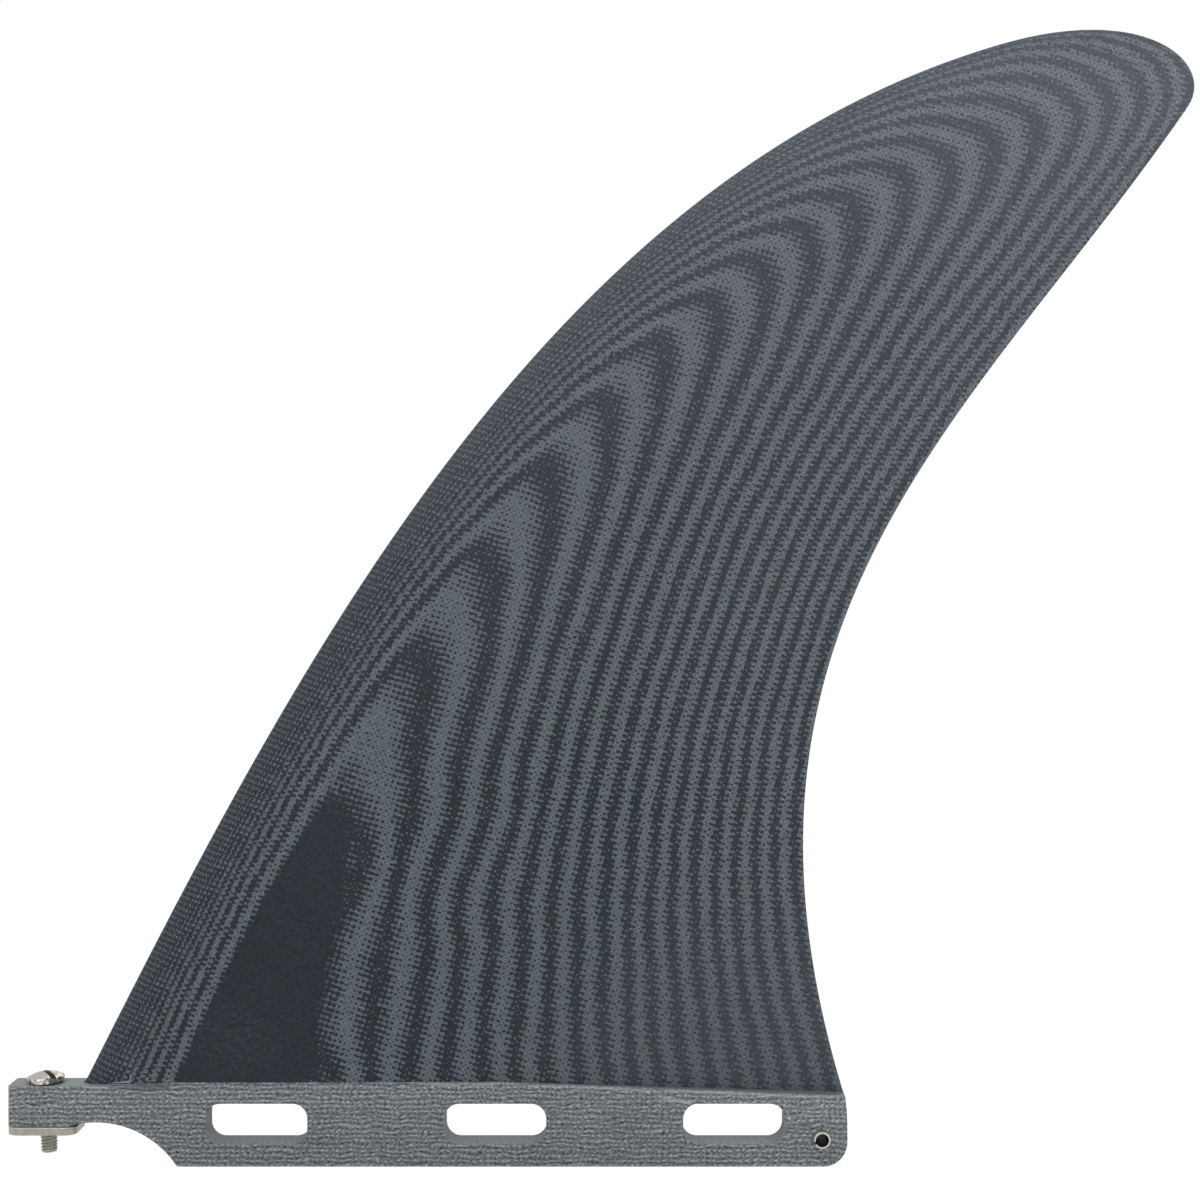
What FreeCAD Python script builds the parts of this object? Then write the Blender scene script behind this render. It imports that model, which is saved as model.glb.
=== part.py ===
# Surfboard fin: a foiled laminate blade on a slotted base tab, with the screw and nut
# plate at its front tongue and the slotted spring pin through its rear end. Millimetres.
# X runs aft along the tab, Y through the thickness and Z up from the board's surface.
# The origin is the middle of the tab's length, on its mid-plane, at the board's surface.
import FreeCAD, Part
import Sketcher
import math
import os
import re

from FreeCAD import Placement, Rotation, Vector

SIZES = {
    # The panel that the fin is cut from
    "panel_thickness": 9.3,
    # Base tab: outline in the XZ plane
    "tab_length": 206.0,
    "tab_depth": 19.7,
    "tab_rise": 0.9,
    "tab_rear_drop": 2.35,
    "tab_rear_taper": 0.55,
    "tab_flat_start": 41.0,
    "tab_flat_end": 121.0,
    "rear_corner_radius": 6.0,
    # Tongue at the front of the tab
    "tongue_height": 9.8,
    "tongue_length": 21.0,
    "tongue_edge_radius": 0.8,
    "relief_radius": 24.0,
    "relief_depth": 0.92,
    "relief_from_front": 21.5,
    "relief_corner_radius": 2.0,
    # Windows through the tab
    "slot_length": 25.0,
    "slot_height": 10.0,
    "slot_corner_radius": 4.3,
    "first_slot_from_front": 61.0,
    "last_slot_from_rear": 27.8,
    "slot_centre_depth": 9.3,
    # Leading edge: a cubic Bezier curve from the root to the tip curve
    "lead_root_from_front": 17.6,
    "lead_root_z": -0.6,
    "lead_low_handle_x": -32.1,
    "lead_low_handle_z": 105.5,
    "lead_high_handle_x": 30.2,
    "lead_high_handle_z": 224.4,
    "lead_end_x": 141.5,
    "lead_end_z": 256.8,
    # Trailing edge: a cubic Bezier curve from the root to the tip curve
    "trail_root_inset": 0.45,
    "trail_root_z": -2.7,
    "trail_low_handle_x": 66.5,
    "trail_low_handle_z": 115.6,
    "trail_high_handle_x": 135.6,
    "trail_high_handle_z": 165.5,
    "trail_end_x": 187.6,
    "trail_end_z": 241.1,
    # Rounded tip: tangent handles on both edges, and where the two edges meet on it
    "tip_lead_handle": 38.1,
    "tip_trail_handle": 14.0,
    "tip_apex_share": 0.78,
    # Foil: half thickness and place of the crown, root to tip
    "root_relief": 0.03,
    "edge_half_thickness": 0.37,
    "taper_start_power": 2.05,
    "taper_end_power": 1.20,
    "crown_at_root": 0.165,
    "crown_shift": 0.60,
    "crown_shift_power": 3.2,
    "nose_fullness": 0.75,
    "nose_crown_handle": 0.33,
    "tail_handle": 0.345,
    "foil_sections": 9,
    # Machine screw through the tongue
    "screw_diameter": 4.17,
    "screw_length": 17.3,
    "screw_tip_bevel": 0.35,
    "screw_from_front": 8.5,
    "screw_lean": 3.0,
    "head_diameter": 9.1,
    "head_rim": 1.3,
    "head_dome": 1.25,
    "driver_slot_width": 1.3,
    "driver_slot_depth": 1.5,
    "driver_slot_turn": -60.0,
    "screw_hole_clearance": 1.5,
    # Nut plate under the tongue
    "plate_length": 17.0,
    "plate_width": 12.4,
    "plate_thickness": 2.0,
    "plate_corner_radius": 2.8,
    "plate_edge_bevel": 0.3,
    # Slotted spring pin through the rear of the tab
    "pin_diameter": 4.15,
    "pin_wall": 0.5,
    "pin_length": 15.9,
    "pin_slit": 0.75,
    "pin_slit_turn": 202.0,
    "pin_bevel": 0.25,
    "pin_from_rear": 6.5,
    "pin_below_top": 12.5,
}


def fill_sheet(doc):
    """Put every size in a spreadsheet cell that carries its name."""
    sheet = doc.addObject("Spreadsheet::Sheet", "Sizes")
    for row, (name, value) in enumerate(SIZES.items(), 1):
        sheet.set(f"A{row}", name.replace("_", " "))
        sheet.set(f"B{row}", str(value))
        sheet.setAlias(f"B{row}", name)
    doc.recompute()
    return sheet


doc = FreeCAD.newDocument("surfboard_fin")
sheet = fill_sheet(doc)


def size(expression):
    """Return the value of an expression on the sheet's names."""
    return float(sheet.evalExpression(expression))


def linked(expression):
    """Return the expression with each size name pointed at the sheet."""
    return re.sub("[a-z_]+", lambda word: f"Sizes.{word[0]}" if word[0] in SIZES else word[0],
                  expression)


def bind(thing, target, expression):
    """Tie one property or constraint of an object to an expression on the sheet."""
    thing.setExpression(target, linked(expression))


def new_body(name):
    """Start a body whose label is its node name."""
    body = doc.addObject("PartDesign::Body", name)
    body.Label = name
    return body


def new_sketch(body, role, name):
    """Attach a sketch to one of the body's own origin planes."""
    plane = next(p for p in body.Origin.OriginFeatures if p.Role == role)
    sketch = body.newObject("Sketcher::SketchObject", name)
    sketch.AttachmentSupport = [(plane, "")]
    sketch.MapMode = "FlatFace"
    return sketch


def constrain_point(sketch, geometry, vertex, across, up):
    """Hold a point of the sketch at two expressions, measured from the origin."""
    for kind, expression in (("DistanceX", across), ("DistanceY", up)):
        rule = Sketcher.Constraint(kind, -1, 1, geometry, vertex, size(expression))
        index = sketch.addConstraint(rule)
        bind(sketch, f"Constraints[{index}]", expression)


def add_polygon(sketch, corners):
    """Draw a closed polygon whose corners are pairs of expressions."""
    points = [Vector(size(across), size(up), 0) for across, up in corners]
    count = len(points)
    for i in range(count):
        sketch.addGeometry(Part.LineSegment(points[i], points[(i + 1) % count]), False)
    for i in range(count):
        sketch.addConstraint(Sketcher.Constraint("Coincident", i, 2, (i + 1) % count, 1))
    for i, (across, up) in enumerate(corners):
        constrain_point(sketch, i, 1, across, up)


def add_circle(sketch, across, up, radius):
    """Draw a circle whose centre and radius are expressions."""
    centre = Vector(size(across), size(up), 0)
    index = sketch.addGeometry(Part.Circle(centre, Vector(0, 0, 1), size(radius)), False)
    constrain_point(sketch, index, 3, across, up)
    rule = sketch.addConstraint(Sketcher.Constraint("Radius", index, size(radius)))
    bind(sketch, f"Constraints[{rule}]", radius)


def pad(body, sketch, name, length, midplane=False):
    """Pad a sketch by an expression."""
    feature = body.newObject("PartDesign::Pad", name)
    feature.Profile = sketch
    bind(feature, "Length", length)
    feature.Midplane = midplane
    doc.recompute()
    return feature


def pocket_through(body, sketch, name):
    """Cut a sketch through the whole body, both ways."""
    before = body.Shape.Volume
    feature = body.newObject("PartDesign::Pocket", name)
    feature.Profile = sketch
    feature.Type = "ThroughAll"
    feature.Midplane = True
    doc.recompute()
    assert body.Shape.Volume < before, f"{name} cuts nothing"
    return feature


def edges_near(shape, wanted):
    """Name the edges of a shape whose middle passes the test."""
    names = []
    for i, edge in enumerate(shape.Edges, 1):
        if wanted(edge, edge.CenterOfMass):
            names.append(f"Edge{i}")
    assert names, "no such edge"
    return names


def round_edges(body, name, radius, wanted):
    """Fillet the chosen edges of the body's tip by an expression."""
    base = body.Tip
    feature = body.newObject("PartDesign::Fillet", name)
    feature.Base = (base, edges_near(base.Shape, wanted))
    bind(feature, "Radius", radius)
    doc.recompute()


def bevel_edges(body, name, depth, wanted):
    """Chamfer the chosen edges of the body's tip by an expression."""
    base = body.Tip
    feature = body.newObject("PartDesign::Chamfer", name)
    feature.Base = (base, edges_near(base.Shape, wanted))
    bind(feature, "Size", depth)
    doc.recompute()


def add_tab():
    """The base tab: tongue, windows, screw hole and pin hole, at full panel thickness."""
    tab = new_body("tab")
    outline = new_sketch(tab, "XZ_Plane", "tab_outline")
    front = "-tab_length / 2"
    rear = "tab_length / 2"
    heel = f"{front} + relief_from_front"
    add_polygon(outline, [
        (front, "0"),
        (f"{front} + tongue_length", "0"),
        (f"{front} + tab_flat_start", "tab_rise"),
        (f"{front} + tab_flat_end", "tab_rise"),
        (f"{rear} - tab_rear_taper", "-tab_rear_drop"),
        (rear, "-tab_depth / 2"),
        (rear, "-tab_depth"),
        (heel, "-tab_depth"),
        (heel, "-tongue_height"),
        (front, "-tongue_height"),
    ])
    pad(tab, outline, "tab_pad", "panel_thickness", midplane=True)

    relief = new_sketch(tab, "XZ_Plane", "relief_circle")
    add_circle(relief, heel, "-tongue_height + relief_depth - relief_radius", "relief_radius")
    pocket_through(tab, relief, "relief")

    windows = new_sketch(tab, "XZ_Plane", "window_outline")
    for number in range(3):
        add_window(windows, number)
    pocket_through(tab, windows, "windows")

    screw_hole = new_sketch(tab, "XY_Plane", "screw_hole_circle")
    middle = f"{front} + screw_from_front"
    add_circle(screw_hole, middle, "0", "(screw_diameter + screw_hole_clearance) / 2")
    pocket_through(tab, screw_hole, "screw_hole")

    pin_hole = new_sketch(tab, "XZ_Plane", "pin_hole_circle")
    add_circle(pin_hole, f"{rear} - pin_from_rear", "-pin_below_top", "pin_diameter / 2")
    pocket_through(tab, pin_hole, "pin_hole")

    half = size("tab_length") / 2
    depth = size("tab_depth")
    round_edges(tab, "rear_corner", "rear_corner_radius",
                lambda edge, mid: abs(mid.x - half) < 0.01 and abs(mid.z + depth) < 0.01)
    round_edges(tab, "relief_corner", "relief_corner_radius",
                lambda edge, mid: abs(mid.y) < 0.01 and abs(mid.z + depth) < 0.01
                and mid.x < 0 and is_across(edge))
    round_edges(tab, "tongue_end", "tongue_edge_radius",
                lambda edge, mid: abs(mid.x + half) < 0.01 and not is_across(edge))
    return tab


def is_across(edge):
    """Tell whether an edge runs through the thickness."""
    return abs(edge.Vertexes[0].Y - edge.Vertexes[-1].Y) > size("panel_thickness") / 2


def add_window(sketch, number):
    """Draw one of the three rounded windows, which stand at even spacings along the tab."""
    spacing = "(tab_length - first_slot_from_front - last_slot_from_rear) / 2"
    centre = f"-tab_length / 2 + first_slot_from_front + {number} * {spacing}"
    flat = "(slot_length / 2 - slot_corner_radius)"
    wall = "(slot_height / 2 - slot_corner_radius)"
    corner = size("slot_corner_radius")
    first = sketch.GeometryCount
    quarters = ((1, 1), (-1, 1), (-1, -1), (1, -1))
    middles = []
    for i, (side, end) in enumerate(quarters):
        across = f"{centre} + {side} * {flat}"
        up = f"-slot_centre_depth + {end} * {wall}"
        middle = Vector(size(across), size(up), 0)
        circle = Part.Circle(middle, Vector(0, 0, 1), corner)
        start = i * math.pi / 2
        sketch.addGeometry(Part.ArcOfCircle(circle, start, start + math.pi / 2), False)
        middles.append((across, up))
    for i in range(4):
        here = sketch.Geometry[first + i]
        there = sketch.Geometry[first + (i + 1) % 4]
        sketch.addGeometry(Part.LineSegment(here.EndPoint, there.StartPoint), False)
    for i in range(4):
        line = first + 4 + i
        following = first + (i + 1) % 4
        sketch.addConstraint(Sketcher.Constraint("Tangent", first + i, 2, line, 1))
        sketch.addConstraint(Sketcher.Constraint("Tangent", line, 2, following, 1))
    for i, (across, up) in enumerate(middles):
        constrain_point(sketch, first + i, 3, across, up)
    rule = sketch.addConstraint(Sketcher.Constraint("Radius", first, corner))
    bind(sketch, f"Constraints[{rule}]", "slot_corner_radius")


class BladePlan:
    """The blade's outline and foil, worked out from the sheet for any height share."""

    def __init__(self):
        rear = size("tab_length / 2 - trail_root_inset")
        self.lead = [
            Vector(size("lead_root_from_front - tab_length / 2"), 0, size("lead_root_z")),
            Vector(size("lead_low_handle_x"), 0, size("lead_low_handle_z")),
            Vector(size("lead_high_handle_x"), 0, size("lead_high_handle_z")),
            Vector(size("lead_end_x"), 0, size("lead_end_z")),
        ]
        self.trail = [
            Vector(rear, 0, size("trail_root_z")),
            Vector(size("trail_low_handle_x"), 0, size("trail_low_handle_z")),
            Vector(size("trail_high_handle_x"), 0, size("trail_high_handle_z")),
            Vector(size("trail_end_x"), 0, size("trail_end_z")),
        ]
        lead_run = self.lead[3] - self.lead[2]
        trail_run = self.trail[3] - self.trail[2]
        lead_handle = size("tip_lead_handle")
        trail_handle = size("tip_trail_handle")
        self.tip = [
            self.lead[3],
            self.lead[3] + lead_run * (lead_handle / lead_run.Length),
            self.trail[3] + trail_run * (trail_handle / trail_run.Length),
            self.trail[3],
        ]
        self.apex = size("tip_apex_share")
        self.lead_share = 1 / (1 + lead_handle * self.apex / lead_run.Length)
        self.trail_share = 1 / (1 + trail_handle * (1 - self.apex) / trail_run.Length)

    def curve_point(self, poles, share):
        """Return the point of a Bezier curve at a share of its run."""
        curve = Part.BezierCurve()
        curve.setPoles(poles)
        return curve.value(share)

    def lead_point(self, share):
        """Return the leading edge point at a height share from root to tip."""
        if share <= self.lead_share:
            return self.curve_point(self.lead, share / self.lead_share)
        along = (share - self.lead_share) / (1 - self.lead_share)
        return self.curve_point(self.tip, along * self.apex)

    def trail_point(self, share):
        """Return the trailing edge point at a height share from root to tip."""
        if share <= self.trail_share:
            return self.curve_point(self.trail, share / self.trail_share)
        along = (share - self.trail_share) / (1 - self.trail_share)
        return self.curve_point(self.tip, 1 - along * (1 - self.apex))

    def crown(self, share):
        """Return the crown's place along the section, as a share, and its half thickness."""
        place = size("crown_at_root") + size("crown_shift") * share ** size("crown_shift_power")
        root = size("panel_thickness / 2 - root_relief")
        edge = size("edge_half_thickness")
        fall = (1 - share ** size("taper_start_power")) ** size("taper_end_power")
        return place, edge + (root - edge) * fall

    def section(self, share):
        """Return the closed foil section at a height share, nose to tail, as a wire."""
        nose = self.lead_point(share)
        chord = self.trail_point(share) - nose
        place, half = self.crown(share)
        edge = size("edge_half_thickness")
        full = size("nose_fullness") * half
        before = place * (1 - size("nose_crown_handle"))
        after = place + size("tail_handle") * (1 - place)

        def at(along, out):
            return nose + chord * along + Vector(0, out, 0)

        curves = []
        for side in (-1, 1):
            nose_curve = Part.BezierCurve()
            nose_curve.setPoles([nose, at(0, side * full), at(before, side * half),
                                 at(place, side * half)])
            tail_curve = Part.BezierCurve()
            tail_curve.setPoles([at(place, side * half), at(after, side * half),
                                 at(1, side * edge)])
            curves.append((nose_curve.toShape(), tail_curve.toShape()))
        tail_edge = Part.makeLine(at(1, -edge), at(1, edge))
        (left_nose, left_tail), (right_nose, right_tail) = curves
        return Part.Wire([left_nose, left_tail, tail_edge, right_tail, right_nose])


def section_shares():
    """Return the height shares of the foil sections, closer together towards the tip."""
    count = int(size("foil_sections"))
    return [math.sin(math.pi / 2 * i / count) for i in range(count)]


def add_blade():
    """The foiled blade: sections fanned from the root to the tip."""
    plan = BladePlan()
    stations = []
    for i, share in enumerate(section_shares()):
        station = doc.addObject("Part::Feature", f"section_{i + 1}")
        station.Shape = plan.section(share)
        stations.append(station)
    blade = doc.addObject("Part::Loft", "blade")
    blade.Sections = stations
    blade.Solid = True
    blade.Ruled = False
    doc.recompute()
    return blade


def add_fin():
    """The fin in one laminated piece: blade and tab."""
    fin = doc.addObject("Part::Fuse", "fin")
    fin.Label = "fin"
    fin.Base = add_tab()
    fin.Tool = add_blade()
    fin.Refine = True
    doc.recompute()
    return fin


def screw_seat():
    """Return the leaning screw's placement: its head's lower left rim rests on the tongue."""
    lean = math.radians(size("screw_lean"))
    lift = size("head_diameter / 2") * math.sin(lean)
    across = size("-tab_length / 2 + screw_from_front")
    shift = size("tongue_height / 2") * math.tan(lean)
    turn = Rotation(Vector(0, 1, 0), -size("screw_lean"))
    return Placement(Vector(across - shift, 0, lift), turn)


def add_domed_profile(sketch, corners):
    """Draw a half profile whose last side is an arc that crosses the axis squarely."""
    points = [Vector(size(across), size(up), 0) for across, up in corners]
    last = len(points) - 1
    for i in range(last):
        sketch.addGeometry(Part.LineSegment(points[i], points[i + 1]), False)
    dome = size("head_dome")
    reach = size("head_diameter / 2")
    radius = (reach ** 2 + dome ** 2) / (2 * dome)
    centre = points[0] - Vector(0, radius, 0)
    rim = math.asin((radius - dome) / radius)
    circle = Part.Circle(centre, Vector(0, 0, 1), radius)
    sketch.addGeometry(Part.ArcOfCircle(circle, rim, math.pi / 2), False)
    for i in range(last):
        sketch.addConstraint(Sketcher.Constraint("Coincident", i, 2, i + 1, 1))
    sketch.addConstraint(Sketcher.Constraint("Coincident", last, 2, 0, 1))
    sketch.addConstraint(Sketcher.Constraint("PointOnObject", last, 3, -2))
    for i, (across, up) in enumerate(corners):
        constrain_point(sketch, i, 1, across, up)


def add_screw():
    """The machine screw: domed head with a driver slot, and a plain shank of thread size."""
    screw = new_body("screw")
    profile = new_sketch(screw, "XZ_Plane", "screw_profile")
    add_domed_profile(profile, [
        ("0", "head_rim + head_dome"),
        ("0", "-screw_length"),
        ("screw_diameter / 2 - screw_tip_bevel", "-screw_length"),
        ("screw_diameter / 2", "-screw_length + screw_tip_bevel"),
        ("screw_diameter / 2", "0"),
        ("head_diameter / 2", "0"),
        ("head_diameter / 2", "head_rim"),
    ])
    turned = screw.newObject("PartDesign::Revolution", "screw_turned")
    turned.Profile = profile
    turned.ReferenceAxis = (profile, ["V_Axis"])
    turned.Angle = 360
    doc.recompute()

    slot = screw.newObject("PartDesign::SubtractiveBox", "driver_slot")
    bind(slot, "Length", "2 * head_diameter")
    bind(slot, "Width", "driver_slot_width")
    bind(slot, "Height", "driver_slot_depth + head_rim")
    turn = Rotation(Vector(0, 0, 1), size("driver_slot_turn"))
    corner = Vector(-size("head_diameter"), -size("driver_slot_width") / 2,
                    size("head_rim + head_dome - driver_slot_depth"))
    slot.AttachmentOffset = Placement(turn.multVec(corner), turn)
    doc.recompute()
    screw.Placement = screw_seat()
    doc.recompute()
    return screw


def add_nut_plate():
    """The nut plate: a rounded stainless plate against the tongue, tapped for the screw."""
    blank = new_body("plate_blank")
    outline = new_sketch(blank, "XY_Plane", "plate_outline")
    half_width = "plate_width / 2"
    front = "-tab_length / 2"
    add_polygon(outline, [
        (front, f"-{half_width}"),
        (f"{front} + plate_length", f"-{half_width}"),
        (f"{front} + plate_length", half_width),
        (front, half_width),
    ])
    pad(blank, outline, "plate_pad", "plate_thickness")
    round_edges(blank, "plate_corners", "plate_corner_radius",
                lambda edge, mid: abs(edge.Vertexes[0].Z - edge.Vertexes[-1].Z) > 0.5)
    low = blank.Shape.BoundBox.ZMin
    high = blank.Shape.BoundBox.ZMax
    bevel_edges(blank, "plate_edges", "plate_edge_bevel",
                lambda edge, mid: abs(mid.z - low) < 0.001 or abs(mid.z - high) < 0.001)
    bind(blank, "Placement.Base.z", "-tongue_height - plate_thickness")
    bore = doc.addObject("Part::Cylinder", "thread_bore")
    bind(bore, "Radius", "screw_diameter / 2")
    bind(bore, "Height", "2 * screw_length")
    seat = screw_seat()
    down = seat.Rotation.multVec(Vector(0, 0, -2 * size("screw_length")))
    bore.Placement = Placement(seat.Base + down, seat.Rotation)
    plate = doc.addObject("Part::Cut", "nut_plate")
    plate.Label = "nut_plate"
    plate.Base = blank
    plate.Tool = bore
    doc.recompute()
    return plate


def add_roll_pin():
    """The spring pin: a rolled tube with a slit, pressed through the tab."""
    pin = new_body("roll_pin")
    rings = new_sketch(pin, "XZ_Plane", "pin_rings")
    across = "tab_length / 2 - pin_from_rear"
    up = "-pin_below_top"
    add_circle(rings, across, up, "pin_diameter / 2")
    add_circle(rings, across, up, "pin_diameter / 2 - pin_wall")
    pad(pin, rings, "pin_tube", "pin_length", midplane=True)
    outer = size("pin_diameter / 2")
    bevel_edges(pin, "pin_ends", "pin_bevel",
                lambda edge, mid: abs(getattr(edge.Curve, "Radius", 0) - outer) < 0.001)

    slit = pin.newObject("PartDesign::SubtractiveBox", "pin_slit_cut")
    bind(slit, "Length", "pin_diameter")
    bind(slit, "Width", "2 * pin_length")
    bind(slit, "Height", "pin_slit")
    turn = Rotation(Vector(0, 1, 0), -size("pin_slit_turn"))
    axis = Vector(size(across), 0, size(up))
    corner = Vector(0, -size("pin_length"), -size("pin_slit") / 2)
    slit.AttachmentOffset = Placement(axis + turn.multVec(corner), turn)
    doc.recompute()
    return pin


def check_and_write(nodes):
    """Stop if anything failed, then write each piece to its own STEP file."""
    doc.recompute()
    for thing in doc.Objects:
        assert "Invalid" not in thing.State and "Error" not in thing.State, thing.Name
    os.makedirs("parts", exist_ok=True)
    for node in nodes:
        shape = node.Shape
        assert not shape.isNull() and shape.isValid(), node.Label
        print(node.Label, "solids", len(shape.Solids), "volume", round(shape.Volume, 1),
              "faces", len(shape.Faces))
        shape.exportStep(f"parts/{node.Label}.step")


check_and_write([add_fin(), add_screw(), add_nut_plate(), add_roll_pin()])
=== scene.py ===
"""A surfboard fin: foiled laminate blade and tab, machine screw, nut plate and spring pin.

Every size in a class is in millimetres unless the class says otherwise, in the frame's own
axes: X runs aft along the tab, Y through the thickness and Z up from the board's surface. The
finished meshes are in metres.
"""

import logging
import math
from dataclasses import dataclass
from enum import Enum
from typing import Iterable, Mapping, Sequence, Union

import bmesh
import bpy
from mathutils import Matrix, Vector


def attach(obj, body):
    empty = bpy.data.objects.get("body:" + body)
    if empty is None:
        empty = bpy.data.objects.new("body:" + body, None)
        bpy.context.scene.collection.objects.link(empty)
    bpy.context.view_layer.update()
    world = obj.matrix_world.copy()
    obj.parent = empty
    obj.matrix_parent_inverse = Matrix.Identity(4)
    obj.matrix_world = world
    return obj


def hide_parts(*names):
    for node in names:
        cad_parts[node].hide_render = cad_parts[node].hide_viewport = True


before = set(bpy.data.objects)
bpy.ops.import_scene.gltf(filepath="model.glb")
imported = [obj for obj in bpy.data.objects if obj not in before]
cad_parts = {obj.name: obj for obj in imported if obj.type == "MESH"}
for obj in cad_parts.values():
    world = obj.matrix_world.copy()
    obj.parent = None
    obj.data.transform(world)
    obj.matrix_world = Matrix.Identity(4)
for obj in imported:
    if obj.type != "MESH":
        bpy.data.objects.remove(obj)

LOG = logging.getLogger("surfboard_fin")
MM = 0.001
BODY = "root"
Colour = tuple[float, float, float]
Point = tuple[float, float]
Ramp = tuple[float, float]
Y_AXIS, Z_AXIS = 1, 2
# Slack in millimetres: how near two corners are one, in a grid and in a seam that was turned,
# and how near two heights are level
WELD = 1e-5
SEAM = 1e-4
LEVEL = 1e-3


# Shader maths


def paint(red: int, green: int, blue: int) -> Colour:
    """Turn a colour as it is seen on a screen, 0 to 255, into the linear one a shader takes.

    Args:
        red: Red share.
        green: Green share.
        blue: Blue share.

    Returns:
        The same colour in linear light.
    """
    shares = (red / 255, green / 255, blue / 255)
    return tuple(s / 12.92 if s <= 0.04045 else ((s + 0.055) / 1.055) ** 2.4 for s in shares)


class Wire:
    """One output of a shader node, on which sums are written as Python expressions."""

    def __init__(self, sheet: "NodeSheet", socket: bpy.types.NodeSocket) -> None:
        """Hold a node's output and the sheet that new nodes go on."""
        self.sheet = sheet
        self.socket = socket

    def sum(self, operation: str, left: "Value", right: "Value" = 0.0) -> "Wire":
        """Add a Math node for one operation on two values."""
        return self.sheet.node("ShaderNodeMath", {"operation": operation}, {0: left, 1: right})

    def __add__(self, other: "Value") -> "Wire":
        """Add a value."""
        return self.sum("ADD", self, other)

    __radd__ = __add__

    def __sub__(self, other: "Value") -> "Wire":
        """Take a value away."""
        return self.sum("SUBTRACT", self, other)

    def __rsub__(self, other: "Value") -> "Wire":
        """Be taken away from a value."""
        return self.sum("SUBTRACT", other, self)

    def __mul__(self, other: "Value") -> "Wire":
        """Multiply by a value."""
        return self.sum("MULTIPLY", self, other)

    __rmul__ = __mul__

    def __truediv__(self, other: "Value") -> "Wire":
        """Divide by a value."""
        return self.sum("DIVIDE", self, other)

    def __abs__(self) -> "Wire":
        """Drop the sign."""
        return self.sum("ABSOLUTE", self)

    def power(self, exponent: float) -> "Wire":
        """Raise to a power."""
        return self.sum("POWER", self, exponent)

    def wave(self) -> "Wire":
        """Return the cosine of the value taken as whole turns."""
        return self.sum("COSINE", self * math.tau)

    def clamped(self) -> "Wire":
        """Hold the value between 0 and 1."""
        return self.sheet.node("ShaderNodeClamp", {}, {0: self})

    def rise(self, low: float, high: float) -> "Wire":
        """Climb smoothly from 0 at low to 1 at high, or fall where low is the higher."""
        return self.sheet.node("ShaderNodeMapRange", {"interpolation_type": "SMOOTHSTEP"},
                               {0: self, 1: low, 2: high, 3: 0.0, 4: 1.0})

    def band(self, low: float, full_from: float, full_to: float, high: float) -> "Wire":
        """Be 1 between the two middle values, and fall smoothly to 0 at the outer ones."""
        return self.rise(low, full_from) * self.rise(high, full_to)

    def span(self, other: "Wire") -> "Wire":
        """Return the length of two offsets at a right angle."""
        return (self * self + other * other).power(0.5)


Value = Union[Wire, float, Sequence[float]]
Place = tuple[Wire, Wire, Wire]


@dataclass(frozen=True)
class Mottle:
    """A noise pattern: its grains a millimetre along X, Y and Z, and how rough it is.

    Along an axis that has no grains, it reads the same layer everywhere.
    """

    scales: tuple[float, float, float]
    detail: float = 1.0
    roughness: float = 0.5
    layer: float = 0.0


@dataclass(frozen=True)
class Spot:
    """An oval place of the XZ plane, full within its core's share of the reach."""

    centre: Point
    reach: Point
    core: float = 0.1


@dataclass(frozen=True)
class Stroke:
    """A straight scratch or worn line of the XZ plane, which fades in and out along its run."""

    start: Point
    end: Point
    width: float = 0.16
    core: float = 0.3
    fade_in: float = 0.25
    fade_out: float = 0.85


STROKE_BREAKS = Mottle((1.5, 0.0, 1.5), 2.0, layer=7.0)
STROKE_GAPS: Ramp = (-0.2, 0.05)
NEAR_SIDE: Ramp = (0.0, -0.1)


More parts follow.
